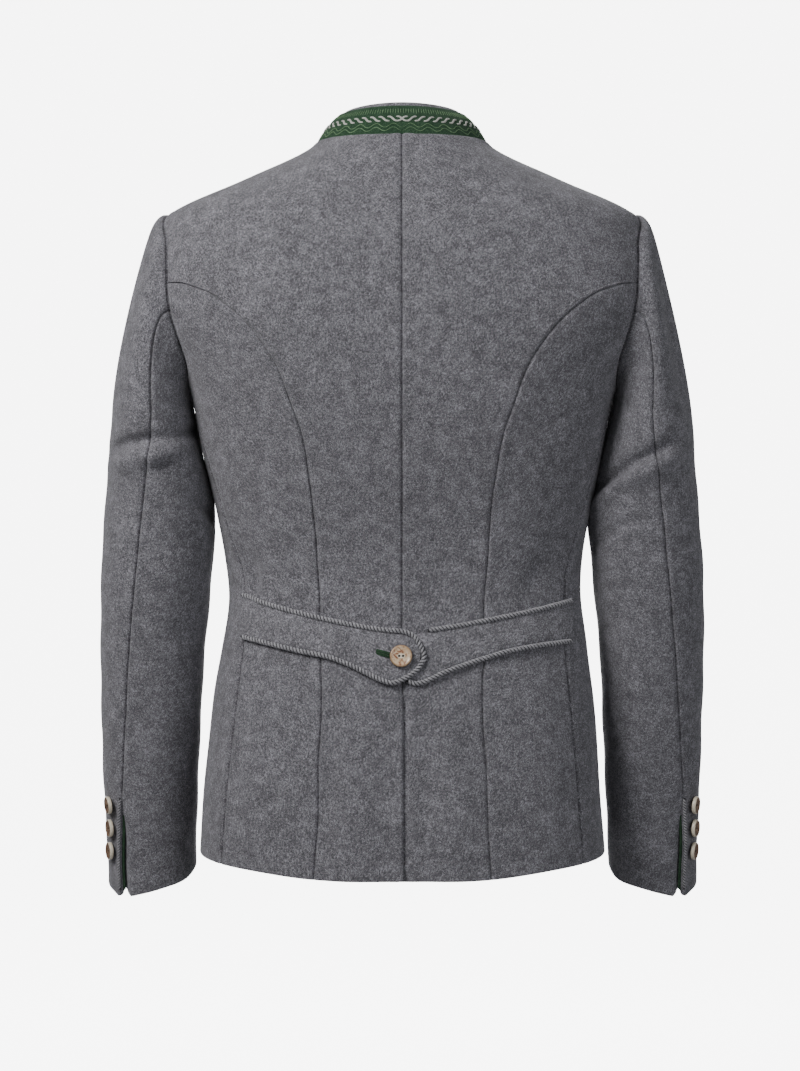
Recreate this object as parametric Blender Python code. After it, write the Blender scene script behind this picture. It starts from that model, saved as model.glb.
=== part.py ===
"""A tyrolean loden jacket, worn and hollow. Front faces -Y, up is +Z, metres.

Origin: the middle of the neck's base, level with the shoulder seams' neck ends.
Angles round the body run from the centre back (0) over the wearer's left side (90) to the
centre front (180). Angles round a sleeve run from its outer side (0) over its back (90) and
its inner side (180) to its front (270). Left is the wearer's, +X.
"""

import math

import bmesh
import bpy
import numpy as np
from mathutils import Matrix, Vector

LODEN_WALL = 0.0020
FELT_WALL = 0.0016
BELT_WALL = 0.0024
SEAM_GAP = 0.0003
UNDERARM_GAP = 0.0014
LAID_GAP = 0.0008
LAP_DROP = LODEN_WALL + 0.0006
CORD_RADIUS = 0.0021
CUFF_CORD_RADIUS = 0.0017

VENT_TOP = -0.528
VENT_UNDERLAP = 0.030
FRONT_LAP = 0.018
# Columns of a front panel beside its edge: distance to the wearer's left of the centre front.
FRONT_STRIP = (-FRONT_LAP, -0.005, 0.005, 0.0195, 0.030)
COLLAR_RISE = 0.0285
COLLAR_EDGE_RISE = 0.0017
NECK_FRONT_DEPTH = 0.093
ARMHOLE_MIDDLE = -0.156
ARMHOLE_HALF_HEIGHT = 0.089
ARMHOLE_BACK = 0.068
ARMHOLE_FRONT = -0.070
BICEP = -0.262
CUFF_VENT_TOP = 0.783
CUFF_VENT_WIDTH = 6.5

BELT_BUTTON_RADIUS = 0.01075
FRONT_BUTTON_RADIUS = 0.01075
CUFF_BUTTON_RADIUS = 0.0086
FRONT_BUTTON_HEIGHTS = (-0.100, -0.190, -0.280, -0.370, -0.460)
CUFF_BUTTON_ROWS = (0.812, 0.861, 0.909)
CUFF_BUTTON_ANGLE = 35.0

# Round sections of the body, from the hem up: height, half width, depth behind, depth in front, squareness.
TORSO_SECTIONS = (
    (-0.740, 0.2015, 0.1230, 0.1370, 2.50),
    (-0.660, 0.1965, 0.1180, 0.1330, 2.50),
    (-0.600, 0.1915, 0.1120, 0.1300, 2.45),
    (-0.540, 0.1850, 0.1040, 0.1270, 2.40),
    (-0.490, 0.1765, 0.0940, 0.1230, 2.35),
    (-0.440, 0.1705, 0.0870, 0.1200, 2.30),
    (-0.400, 0.1745, 0.0880, 0.1220, 2.35),
    (-0.360, 0.1825, 0.0940, 0.1260, 2.45),
    (-0.300, 0.1940, 0.1050, 0.1320, 2.60),
    (-0.245, 0.2055, 0.1130, 0.1350, 2.80),
    (-0.215, 0.2160, 0.1145, 0.1330, 2.90),
    (-0.190, 0.2290, 0.1150, 0.1290, 3.00),
    (-0.165, 0.2400, 0.1150, 0.1240, 3.00),
    (-0.133, 0.2460, 0.1130, 0.1160, 2.80),
    (-0.100, 0.2420, 0.1085, 0.1050, 2.60),
    (-0.067, 0.2315, 0.1000, 0.0900, 2.45),
    (-0.033, 0.1600, 0.0890, 0.0750, 2.30),
    (-0.002, 0.0925, 0.0770, 0.0620, 2.20),
    (0.004, 0.0835, 0.0745, 0.0595, 2.15),
    (0.020, 0.0700, 0.0680, 0.0520, 2.15),
)

# The curved seam of the back, down from the armhole: distance from the centre, height.
PRINCESS_SEAM = (
    (0.2107, -0.1403),
    (0.1996, -0.1444),
    (0.1856, -0.1499),
    (0.1689, -0.1615),
    (0.1555, -0.1727),
    (0.1421, -0.1871),
    (0.1311, -0.2023),
    (0.1201, -0.2195),
    (0.1126, -0.2365),
    (0.1070, -0.2524),
    (0.0966, -0.2817),
    (0.0884, -0.3290),
    (0.0838, -0.3765),
    (0.0814, -0.4050),
    (0.0781, -0.4537),
    (0.0767, -0.5546),
    (0.0799, -0.5940),
    (0.0811, -0.6464),
    (0.0838, -0.7040),
)

# The side seam, down from the armhole: angle round the body, height.
SIDE_SEAM = (
    (79.0, -0.300),
    (77.0, -0.360),
    (74.0, -0.440),
    (71.0, -0.480),
    (68.5, -0.540),
    (67.0, -0.660),
    (67.0, -0.6965),
)

# The hem: angle round the body, height.
HEM = (
    (0.0, -0.7070),
    (40.0, -0.7050),
    (60.0, -0.6995),
    (90.0, -0.6900),
    (130.0, -0.6930),
    (180.0, -0.7000),
    (200.0, -0.7000),
)

# Level sections of a sleeve: height, inner side, outer side, back, front.
SLEEVE_SECTIONS = (
    (-0.262, 0.2065, 0.2845, 0.0750, -0.0750),
    (-0.300, 0.1985, 0.2880, 0.0720, -0.0700),
    (-0.360, 0.1875, 0.2930, 0.0620, -0.0620),
    (-0.400, 0.1880, 0.2955, 0.0580, -0.0580),
    (-0.440, 0.1905, 0.2970, 0.0520, -0.0580),
    (-0.500, 0.1955, 0.2978, 0.0420, -0.0640),
    (-0.560, 0.1990, 0.2975, 0.0300, -0.0680),
    (-0.620, 0.2025, 0.2955, 0.0180, -0.0740),
    (-0.680, 0.2055, 0.2915, 0.0080, -0.0800),
    (-0.750, 0.2075, 0.2880, -0.0010, -0.0870),
)

# Where a sleeve's two seams run round it: height, hind seam, fore seam.
SLEEVE_SEAMS = (
    (-0.262, 97.0, 285.0),
    (-0.300, 89.0, 286.0),
    (-0.330, 82.0, 287.0),
    (-0.360, 77.0, 288.0),
    (-0.400, 75.0, 289.0),
    (-0.584, 62.0, 291.0),
    (-0.631, 58.0, 292.0),
    (-0.750, 56.0, 293.0),
)

# How a sleeve head leaves the armhole: angle, sideways, backwards, upwards.
SLEEVE_HEAD = (
    (0.0, 0.045, 0.000, 0.004),
    (40.0, 0.052, 0.016, 0.000),
    (79.0, 0.070, 0.020, -0.006),
    (97.0, 0.052, 0.014, -0.006),
    (135.0, 0.032, 0.004, -0.004),
    (180.0, 0.022, 0.000, -0.006),
    (225.0, 0.036, -0.004, -0.004),
    (263.0, 0.052, -0.014, -0.006),
    (285.0, 0.070, -0.020, -0.006),
    (320.0, 0.052, -0.016, 0.000),
    (360.0, 0.045, 0.000, 0.004),
)

# Soft folds of the body: side, angle, angle width, height, height spread, rise.
BODY_FOLDS = (
    (1, 20.0, 9.0, -0.640, 0.090, 0.0030),
    (1, 34.0, 6.0, -0.640, 0.080, -0.0025),
    (-1, 24.0, 9.0, -0.640, 0.090, 0.0030),
    (-1, 12.0, 6.0, -0.620, 0.080, -0.0020),
    (-1, 57.0, 8.0, -0.600, 0.080, 0.0025),
    (1, 58.0, 8.0, -0.610, 0.080, 0.0025),
    (1, 72.0, 9.0, -0.415, 0.022, -0.0035),
    (-1, 70.0, 9.0, -0.410, 0.022, -0.0030),
)

# Elbow and arm folds: side, angle, angle width, height, height spread, rise per degree, rise.
SLEEVE_FOLDS = (
    (1, 95.0, 42.0, -0.298, 0.007, 0.00020, -0.0060),
    (1, 92.0, 42.0, -0.316, 0.011, 0.00015, 0.0040),
    (1, 150.0, 40.0, -0.345, 0.009, -0.00025, -0.0040),
    (1, 100.0, 60.0, -0.480, 0.016, 0.00010, -0.0020),
    (-1, 110.0, 60.0, -0.330, 0.008, -0.00050, -0.0060),
    (-1, 112.0, 60.0, -0.349, 0.011, -0.00045, 0.0040),
    (-1, 80.0, 50.0, -0.455, 0.016, -0.00010, -0.0020),
    (-1, 140.0, 40.0, -0.560, 0.018, 0.00010, 0.0020),
)

# The belt's left piece, from the side seam to past the centre: distance from the centre, top, bottom.
BELT_LEFT = (
    (0.1535, -0.4369, -0.4822),
    (0.1250, -0.4460, -0.4885),
    (0.0955, -0.4538, -0.4950),
    (0.0700, -0.4597, -0.5000),
    (0.0466, -0.4645, -0.5090),
    (0.0342, -0.4668, -0.5153),
    (0.0200, -0.4690, -0.5220),
    (0.0105, -0.4700, -0.5248),
    (-0.0019, -0.4712, -0.5210),
    (-0.0110, -0.4750, -0.5155),
    (-0.0175, -0.4825, -0.5095),
    (-0.0215, -0.4905, -0.5030),
)

# The belt's right piece, measured the same way on the other side; it ends under the left one.
BELT_RIGHT = (
    (0.1580, -0.4423, -0.4864),
    (0.1300, -0.4497, -0.4895),
    (0.0991, -0.4565, -0.4950),
    (0.0752, -0.4612, -0.5022),
    (0.0504, -0.4659, -0.5105),
    (0.0380, -0.4676, -0.5153),
    (0.0260, -0.4692, -0.5205),
    (0.0095, -0.4720, -0.5200),
    (-0.0060, -0.4760, -0.5150),
    (-0.0130, -0.4820, -0.5090),
)

# The armhole's stations, shared by the panels and the sleeve that meet there.
BACK_STATIONS = (0.0, 20.0, 40.0, 60.0, 79.0)
SIDE_STATIONS = (79.0, 97.0, 116.0, 135.0, 154.0)
FRONT_STATIONS = (0.0, -25.0, -50.0, -75.0, -98.0, -122.0, -146.0, -176.0, -206.0)
TOP_SLEEVE_STATIONS = (-75.0, -50.0, -25.0, 0.0, 20.0, 40.0, 60.0, 79.0, 97.0)
UNDER_SLEEVE_STATIONS = (97.0, 116.0, 135.0, 154.0, 184.0, 214.0, 238.0, 262.0, 285.0)
CAP_ROWS = (0.0, 0.05, 0.13, 0.26, 0.45, 0.70)
ARM_ROWS = (0.0, 0.05, 0.085, 0.12, 0.155, 0.20, 0.27, 0.36, 0.48, 0.62, 0.783, 0.80, 0.90, 1.0)
# Rows of the panels below the armhole, as shares of the way to the hem: closest at the waist.
LOWER_ROWS = (0.0, 0.05, 0.10, 0.16, 0.23, 0.31, 0.39, 0.46, 0.50, 0.535, 0.565, 0.595, 0.625, 0.66,
              0.70, 0.78, 0.89, 1.0)


def flowing(places, values, at):
    """A smooth line through the values, read at any place."""
    places = np.asarray(places, float)
    values = np.asarray(values, float)
    if places[0] > places[-1]:
        places, values = places[::-1], values[::-1]
    steps = np.diff(places)
    rises = np.diff(values) / steps
    slopes = np.empty(len(places))
    slopes[0], slopes[-1] = rises[0], rises[-1]
    slopes[1:-1] = (rises[:-1] * steps[1:] + rises[1:] * steps[:-1]) / (steps[:-1] + steps[1:])
    at = np.clip(np.asarray(at, float), places[0], places[-1])
    low = np.clip(np.searchsorted(places, at, side="right") - 1, 0, len(steps) - 1)
    step = steps[low]
    part = (at - places[low]) / step
    start = (1 + 2 * part) * (1 - part) ** 2 * values[low] + part * (1 - part) ** 2 * step * slopes[low]
    end = part**2 * (3 - 2 * part) * values[low + 1] + part**2 * (part - 1) * step * slopes[low + 1]
    return start + end


def column(table, at, which):
    """One named column of a table, read smoothly at a place in its first column."""
    rows = np.asarray(table, float)
    return flowing(rows[:, 0], rows[:, which], at)


def along(points, parts):
    """Points at the given shares of the length of a smooth line through some points."""
    points = np.asarray(points, float)
    lengths = np.linalg.norm(np.diff(points, axis=0), axis=1)
    reach = np.concatenate([[0.0], np.cumsum(lengths)])
    reach /= reach[-1]
    return np.stack([flowing(reach, points[:, k], parts) for k in range(points.shape[1])], axis=-1)


def unit(vectors):
    return vectors / np.maximum(np.linalg.norm(vectors, axis=-1, keepdims=True), 1e-12)


def torso_radius(angle, height):
    width = column(TORSO_SECTIONS, height, 1)
    behind = column(TORSO_SECTIONS, height, 2)
    ahead = column(TORSO_SECTIONS, height, 3)
    square = column(TORSO_SECTIONS, height, 4)
    turn = np.radians(angle)
    depth = np.where(np.cos(turn) >= 0, behind, ahead)
    across = np.abs(np.sin(turn)) / width
    through = np.abs(np.cos(turn)) / depth
    return (across**square + through**square) ** (-1 / square)


def torso_fold(angle, height):
    rise = np.zeros(np.broadcast(angle, height).shape)
    wrapped = (np.asarray(angle) + 180.0) % 360.0 - 180.0
    for side, middle, spread, level, reach, amount in BODY_FOLDS:
        near = ((side * wrapped - middle) / spread) ** 2 + ((height - level) / reach) ** 2
        rise = rise + amount * np.exp(-near)
    return rise


def torso_plain(angle, height):
    """A point of the body's outer face. The angle is in degrees, and is negative on the right."""
    radius = torso_radius(angle, height) + torso_fold(angle, height)
    turn = np.radians(angle)
    height = np.broadcast_to(height, radius.shape)
    return np.stack([radius * np.sin(turn), radius * np.cos(turn), height], axis=-1)


def torso_normal(angle, height):
    round_it = torso_plain(angle + 0.4, height) - torso_plain(angle - 0.4, height)
    up_it = torso_plain(angle, height + 0.0008) - torso_plain(angle, height - 0.0008)
    return unit(np.cross(up_it, round_it))


def torso(angle, height, lift=0.0):
    lift = np.broadcast_to(lift, np.broadcast(angle, height).shape)
    return torso_plain(angle, height) + torso_normal(angle, height) * lift[..., None]


def behind_angle(across, height):
    """The angle at which the back is this far from its centre."""
    width = column(TORSO_SECTIONS, height, 1)
    behind = column(TORSO_SECTIONS, height, 2)
    square = column(TORSO_SECTIONS, height, 4)
    share = np.clip(np.abs(across) / width, 0, 1)
    depth = behind * (1 - share**square) ** (1 / square)
    return np.degrees(np.arctan2(across, depth))


def armhole(station):
    """(angle round the body, height) at a station of the left armhole."""
    turn = np.radians(station)
    height = ARMHOLE_MIDDLE + ARMHOLE_HALF_HEIGHT * np.cos(turn)
    reach = np.where(np.sin(turn) >= 0, ARMHOLE_BACK, -ARMHOLE_FRONT)
    depth = reach * np.sin(turn)
    width = column(TORSO_SECTIONS, height, 1)
    half = np.where(depth >= 0, column(TORSO_SECTIONS, height, 2), column(TORSO_SECTIONS, height, 3))
    square = column(TORSO_SECTIONS, height, 4)
    across = width * (1 - (np.abs(depth) / half) ** square) ** (1 / square)
    return np.stack([np.degrees(np.arctan2(across, depth)), height], axis=-1)


def neck_height(angle):
    """The height at which the neck opening's plan oval meets the body."""
    turn = np.radians(np.abs(angle))
    wide = column(TORSO_SECTIONS, 0.004, 1)
    across = np.abs(np.sin(turn)) / wide
    through = np.abs(np.cos(turn)) / NECK_FRONT_DEPTH
    target = (across**2.15 + through**2.15) ** (-1 / 2.15)
    low = np.full(np.shape(turn), -0.16)
    high = np.full(np.shape(turn), 0.004)
    for _ in range(40):
        middle = (low + high) / 2
        outside = torso_radius(np.abs(angle), middle) > target
        low = np.where(outside, middle, low)
        high = np.where(outside, high, middle)
    return np.where(np.cos(turn) >= 0, 0.004, (low + high) / 2)


def hem_height(angle):
    return column(HEM, np.abs(angle), 1)


def filled(top, bottom, left, right):
    """A grid of (angle, height) pairs between four edges; the top edge's bend fades out below it."""
    u = np.linspace(0, 1, len(top))[None, :, None]
    v = np.linspace(0, 1, len(left))[:, None, None]
    top_bend = top[None] - (1 - u) * top[0] - u * top[-1]
    bottom_bend = bottom[None] - (1 - u) * bottom[0] - u * bottom[-1]
    return (1 - u) * left[:, None] + u * right[:, None] + (1 - v) ** 3 * top_bend + v * bottom_bend


def inwards(edge, neighbour):
    """Unit steps from an edge towards its neighbouring row, square to the edge."""
    ahead = unit(np.gradient(edge, axis=0))
    step = neighbour - edge
    return unit(step - ahead * np.sum(step * ahead, axis=-1, keepdims=True))


def pulled_in(grid, near, edges):
    """Moves the named edges of a grid half a seam's gap inwards."""
    moved = grid.copy()
    half = SEAM_GAP / 2
    if "left" in edges:
        moved[:, 0] += inwards(near[:, 0], near[:, 1]) * half
    if "right" in edges:
        moved[:, -1] += inwards(near[:, -1], near[:, -2]) * half
    if "top" in edges:
        moved[0] += inwards(near[0], near[1]) * half
    if "bottom" in edges:
        moved[-1] += inwards(near[-1], near[-2]) * half
    return moved


def paint(name, colour, roughness, metallic=0.0):
    material = bpy.data.materials.new(name)
    material.use_nodes = True
    shader = material.node_tree.nodes["Principled BSDF"]
    shader.inputs["Base Color"].default_value = (*colour, 1.0)
    shader.inputs["Roughness"].default_value = roughness
    shader.inputs["Metallic"].default_value = metallic
    return material


def placed(name, vertices, faces, colour, roughness):
    """One closed body with its own material, its faces turned outwards."""
    mesh = bpy.data.meshes.new(name)
    mesh.from_pydata([tuple(map(float, point)) for point in vertices], [], faces)
    shape = bmesh.new()
    shape.from_mesh(mesh)
    bmesh.ops.recalc_face_normals(shape, faces=shape.faces)
    shape.to_mesh(mesh)
    shape.free()
    mesh.shade_smooth()
    mesh.set_sharp_from_angle(angle=math.radians(50))
    mesh.materials.append(paint(name + "_material", colour, roughness))
    piece = bpy.data.objects.new(name, mesh)
    bpy.context.scene.collection.objects.link(piece)
    return piece


def wall(name, outer, inner, colour, roughness, kept=None):
    """A closed wall of cloth between two grids of points; kept says which cells are there."""
    rows, columns = outer.shape[:2]
    if kept is None:
        kept = np.ones((rows - 1, columns - 1), bool)
    faces = []
    edges = {}
    shift = rows * columns
    for row in range(rows - 1):
        for place in range(columns - 1):
            if not kept[row, place]:
                continue
            a = row * columns + place
            ring = (a, a + 1, a + 1 + columns, a + columns)
            faces.append(ring)
            faces.append(tuple(corner + shift for corner in reversed(ring)))
            for start, end in zip(ring, ring[1:] + ring[:1]):
                if (end, start) in edges:
                    del edges[(end, start)]
                else:
                    edges[(start, end)] = True
    points = np.concatenate([outer.reshape(-1, 3), inner.reshape(-1, 3)])
    for start, end in edges:
        if points[start, 2] < points[end, 2]:
            faces += [(end, start, end + shift), (start, start + shift, end + shift)]
        else:
            faces += [(end, start, start + shift), (end, start + shift, end + shift)]
    used = sorted({corner for face in faces for corner in face})
    renumbered = {old: new for new, old in enumerate(used)}
    faces = [tuple(renumbered[corner] for corner in face) for face in faces]
    return placed(name, points[used], faces, colour, roughness)


def body_panel(name, grid, edges, colour, lift=0.0, kept=None):
    """A panel of the body's cloth over a grid of (angle, height) pairs."""
    angle, height = grid[..., 0], grid[..., 1]
    outside = torso(angle, height, lift)
    outer = pulled_in(outside, outside, edges)
    inside = torso(angle, height, lift - LODEN_WALL)
    inner = pulled_in(inside, outside, edges)
    return wall(name, outer, inner, colour, 0.92, kept)


def mirrored(grid):
    return grid * np.array([-1.0, 1.0])


def seam_lines():
    """The left side's seams as (angle, height) rows, shared by the panels on both sides of them."""
    parts = np.array(LOWER_ROWS)
    princess_top = armhole(np.array(BACK_STATIONS[-1:]))
    across, height = np.array(PRINCESS_SEAM).T
    princess = np.stack([behind_angle(across, height), height * 1.0], axis=-1)
    scale = np.array([0.0018, 1.0])
    princess = along(np.concatenate([princess_top, princess]) * scale, parts) / scale
    princess[-1, 1] = hem_height(princess[-1, 0])
    side_top = armhole(np.array(SIDE_STATIONS[-1:]))
    side = along(np.concatenate([side_top, np.array(SIDE_SEAM)]) * scale, parts) / scale
    side[-1, 1] = hem_height(side[-1, 0])
    return princess, side


def top_line(neck_columns, shoulder_columns, start, turned):
    """From an edge of the neck opening to the shoulder seam's outer end, as (angle, height)."""
    neck = np.linspace(start, 90.0, neck_columns)
    neck_part = np.stack([neck, neck_height(neck) if turned else np.full(neck.shape, 0.004)], axis=-1)
    heights = np.linspace(0.004, ARMHOLE_MIDDLE + ARMHOLE_HALF_HEIGHT, shoulder_columns + 1)[1:]
    drop = np.stack([np.full(heights.shape, 90.0), heights], axis=-1)
    return np.concatenate([neck_part, drop])


def edge_heights(opposite, armhole_rows, high, low):
    """Heights down a centre edge: even beside the armhole, then drawing level with the seam opposite."""
    start = opposite[armhole_rows] - 0.036
    beside = np.linspace(high, start, armhole_rows + 1)[:-1]
    share = np.array(LOWER_ROWS)
    below = opposite[armhole_rows:] - 0.036 * (1 - share) ** 2 + (low - opposite[-1]) * share
    return np.concatenate([beside, below])


def back_grid(princess):
    right = np.concatenate([armhole(np.array(BACK_STATIONS))[:-1], princess])
    top = top_line(7, 4, 0.0, False)
    rows = len(right)
    heights = edge_heights(right[:, 1], len(BACK_STATIONS) - 1, 0.004, float(hem_height(0.0)))
    left = np.stack([np.zeros(rows), heights], axis=-1)
    below = np.linspace(0.0, princess[-1, 0], len(top))
    bottom = np.stack([below, hem_height(below)], axis=-1)
    return filled(top, bottom, left, right)


def front_angle(offset, height):
    """The angle at which the front is this far to the wearer's left of its centre."""
    return 180.0 - np.degrees(np.arctan2(offset, column(TORSO_SECTIONS, height, 3)))


def neck_front_angles():
    return 180.0 - np.degrees(np.arctan2(np.array(FRONT_STRIP), NECK_FRONT_DEPTH))


def front_grid(side):
    """The left front panel: a lap past the centre front, then the cloth round to the side seam."""
    right = np.concatenate([armhole(np.array(FRONT_STATIONS))[:-1], side])
    strip = neck_front_angles()
    top = top_line(6, 4, strip[-1], True)
    low = float(hem_height(strip[-1]))
    heights = edge_heights(right[:, 1], len(FRONT_STATIONS) - 1, top[0, 1], low)
    left = np.stack([front_angle(FRONT_STRIP[-1], heights), heights], axis=-1)
    left[0] = top[0]
    below = np.linspace(left[-1, 0], side[-1, 0], len(top))
    bottom = np.stack([below, hem_height(below)], axis=-1)
    columns = [np.stack([front_angle(offset, heights), heights], axis=-1) for offset in FRONT_STRIP[:-1]]
    for turn, line in zip(strip, columns):
        line[0] = turn, neck_height(turn)
    return np.concatenate([np.stack(columns, axis=1), filled(top, bottom, left, right)], axis=1)


def build_back(princess, colour):
    grid = back_grid(princess)
    edges = ("left", "right", "top")
    body_panel("back_left", grid, edges, colour)

    right = mirrored(grid)
    rows = right.shape[0]
    heights = right[:, 0, 1]
    depth = column(TORSO_SECTIONS, heights, 2)
    lap = [np.degrees(np.arctan2(offset, depth)) for offset in (0.015, VENT_UNDERLAP)]
    strip = [np.stack([turn, heights], axis=-1) for turn in reversed(lap)]
    edge = [np.stack([np.degrees(np.arctan2(offset, depth)), heights], axis=-1)
            for offset in (-0.0006, -0.0050)]
    strip.append(np.stack([np.full(rows, 0.0), heights], axis=-1))
    right = np.concatenate([np.stack(strip + edge, axis=1), right[:, 1:]], axis=1)
    opened = heights < VENT_TOP
    lift = np.zeros(right.shape[:2])
    lift[opened, :4] = -LAP_DROP
    kept = np.ones((rows - 1, right.shape[1] - 1), bool)
    kept[:, :2] = (opened[:-1] & opened[1:])[:, None]
    right[~opened, 2, 0] = -np.degrees(SEAM_GAP / 2 / depth[~opened])
    angle, height = right[..., 0], right[..., 1]
    outside = torso(angle, height, lift)
    inside = torso(angle, height, lift - LODEN_WALL)
    held = ("right", "top")
    wall("back_right", pulled_in(outside, outside, held), pulled_in(inside, outside, held), colour, 0.92, kept)


def build_side_backs(princess, side, colour):
    top = armhole(np.array(SIDE_STATIONS))
    below = np.linspace(princess[-1, 0], side[-1, 0], len(top))
    bottom = np.stack([below, hem_height(below)], axis=-1)
    grid = filled(top, bottom, princess, side)
    edges = ("left", "right", "top")
    body_panel("side_back_left", grid, edges, colour)
    body_panel("side_back_right", mirrored(grid), edges, colour)


def build_fronts(side, colour):
    edges = ("right", "top")
    grid = front_grid(side)
    body_panel("front_left", grid, edges, colour)
    lift = np.zeros(grid.shape[:2])
    lift[:, :len(FRONT_STRIP) - 1] = -LAP_DROP
    body_panel("front_right", mirrored(grid), edges, colour, lift)


def sleeve_section(angle, height, side):
    inner, outer, back, front = (column(SLEEVE_SECTIONS, height, k) for k in (1, 2, 3, 4))
    turn = np.radians(angle)
    square = 2.15
    half_across, half_through = (outer - inner) / 2, (back - front) / 2
    spread = (np.abs(np.cos(turn)) ** square + np.abs(np.sin(turn)) ** square) ** (-1 / square)
    rise = np.zeros(np.broadcast(angle, height).shape)
    wrapped = np.asarray(angle) % 360.0
    for where, middle, width, level, reach, slant, amount in SLEEVE_FOLDS:
        if where != side:
            continue
        line = level + slant * (wrapped - middle)
        rise = rise + amount * np.exp(-((wrapped - middle) / width) ** 2 - ((height - line) / reach) ** 2)
    x = (outer + inner) / 2 + (half_across * spread + rise) * np.cos(turn)
    y = (back + front) / 2 + (half_through * spread + rise) * np.sin(turn)
    return np.stack([x, y, np.broadcast_to(height, x.shape)], axis=-1)


def sleeve_cap(station, lower, share):
    """From a station of the armhole to an angle of the bicep's section, by share of the way down."""
    pairs = armhole(station)
    start = torso_plain(pairs[..., 0], pairs[..., 1])
    end = sleeve_section(lower, np.full(np.shape(lower), BICEP), 0)
    wrapped = np.asarray(station) % 360.0
    leave = np.stack([column(SLEEVE_HEAD, wrapped, k) for k in (1, 2, 3)], axis=-1)
    below = sleeve_section(lower, np.full(np.shape(lower), BICEP - 0.004), 0)
    arrive = unit(below - end) * np.linalg.norm(end - start, axis=-1, keepdims=True)
    s = np.asarray(share)[..., None]
    first = (1 + 2 * s) * (1 - s) ** 2 * start + s * (1 - s) ** 2 * leave
    return first + s**2 * (3 - 2 * s) * end + s**2 * (s - 1) * arrive


def cuff_height(angle):
    return -0.7225 - 0.0135 * np.cos(np.radians(angle - 35.0))


def sleeve_angles(station, height, first, last):
    """The stations between two seams, spread between where those seams have got to."""
    hind = column(SLEEVE_SEAMS, height, 1)
    fore = column(SLEEVE_SEAMS, height, 2)
    ends = {97.0: hind, 285.0: fore, -75.0: fore - 360.0}
    share = (station - first) / (last - first)
    return ends[first] + share * (ends[last] - ends[first])


def arm_point(station, share, first, last, side, shift=0.0):
    """A point of the arm below the bicep, by share of the way to the cuff."""
    height = BICEP + share * (cuff_height(40.0) - BICEP)
    angle = sleeve_angles(station, height, first, last) + shift
    height = BICEP + share * (cuff_height(angle) - BICEP)
    return sleeve_section(angle, height, side)


def sleeve_grid(stations, side, vent_shift=0.0):
    """A sleeve panel's outer points and their outward normals."""
    first, last = stations[0], stations[-1]
    station = np.array(stations)
    at_bicep = sleeve_angles(station, np.full(station.shape, BICEP), first, last)
    edge = 0 if first == 97.0 else -1

    def cap(shift, share):
        return sleeve_cap(station + shift, at_bicep + shift, np.full(station.shape, share))

    def arm(shift, share):
        opened = np.zeros(station.shape)
        if share > CUFF_VENT_TOP + 0.001:
            opened[edge] = vent_shift
        return arm_point(station, np.full(station.shape, share), first, last, side, shift + opened)

    points, normals = [], []
    for share in CAP_ROWS:
        points.append(cap(0.0, share))
        low, high = max(share, 0.004) - 0.004, max(share, 0.004) + 0.004
        round_it = cap(1.0, max(share, 0.004)) - cap(-1.0, max(share, 0.004))
        normals.append(unit(np.cross(cap(0.0, high) - cap(0.0, low), round_it)))
    for share in ARM_ROWS:
        points.append(arm(0.0, share))
        low, high = max(share - 0.004, 0.0), share + 0.004
        normals.append(unit(np.cross(arm(0.0, high) - arm(0.0, low), arm(1.0, share) - arm(-1.0, share))))
    return np.array(points), np.array(normals)


def sleeve_panel(name, stations, side, colour, vent_shift=0.0):
    points, normals = sleeve_grid(stations, side, vent_shift)
    middle = points[:, len(stations) // 2]
    if np.dot(normals[-3, len(stations) // 2], middle[-3] - np.array([0.247, -0.03, middle[-3, 2]])) < 0:
        normals[1:] = -normals[1:]
    pairs = armhole(np.array(stations))
    facing = torso_normal(pairs[..., 0], pairs[..., 1])
    under = 1 - np.clip((np.abs(np.array(stations) - 180.0) - 26.0) / 35.0, 0, 1)[:, None]
    normals[0] = unit(facing * (1 - under) + normals[0] * under)
    into = unit(np.array([0.0, 0.0, ARMHOLE_MIDDLE]) + np.array([1.0, 0.0, 0.0]) * points[0] - points[0])
    points[0] += into * (1 - under) * SEAM_GAP * 0.8 + facing * under * UNDERARM_GAP
    outer = pulled_in(points, points, ("left", "right"))
    inner = pulled_in(points - normals * LODEN_WALL, points, ("left", "right"))
    flip = np.array([side, 1.0, 1.0])
    return wall(name, outer * flip, inner * flip, colour, 0.92)


def cuff_facing(name, side, colour):
    """The green edge under the cuff vent's flap, made from the flap's own points."""
    points, normals = sleeve_grid(TOP_SLEEVE_STATIONS, side)
    if normals[-3, 4, 0] < 0:
        normals = -normals
    first = len(CAP_ROWS) + ARM_ROWS.index(0.783)
    points, normals = points[first:, -2:], normals[first:, -2:]
    past = points[:, -1] + unit(points[:, -1] - points[:, -2]) * 0.0030 - normals[:, -1] * 0.0004
    points = np.concatenate([points, past[:, None]], axis=1)
    normals = np.concatenate([normals, normals[:, -1:]], axis=1)
    points[0] += unit(points[1] - points[0]) * 0.003
    drop = LODEN_WALL + LAID_GAP
    flip = np.array([side, 1.0, 1.0])
    outer = (points - normals * drop) * flip
    inner = (points - normals * (drop + 0.0012)) * flip
    wall(name, outer, inner, colour, 0.9)


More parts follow.
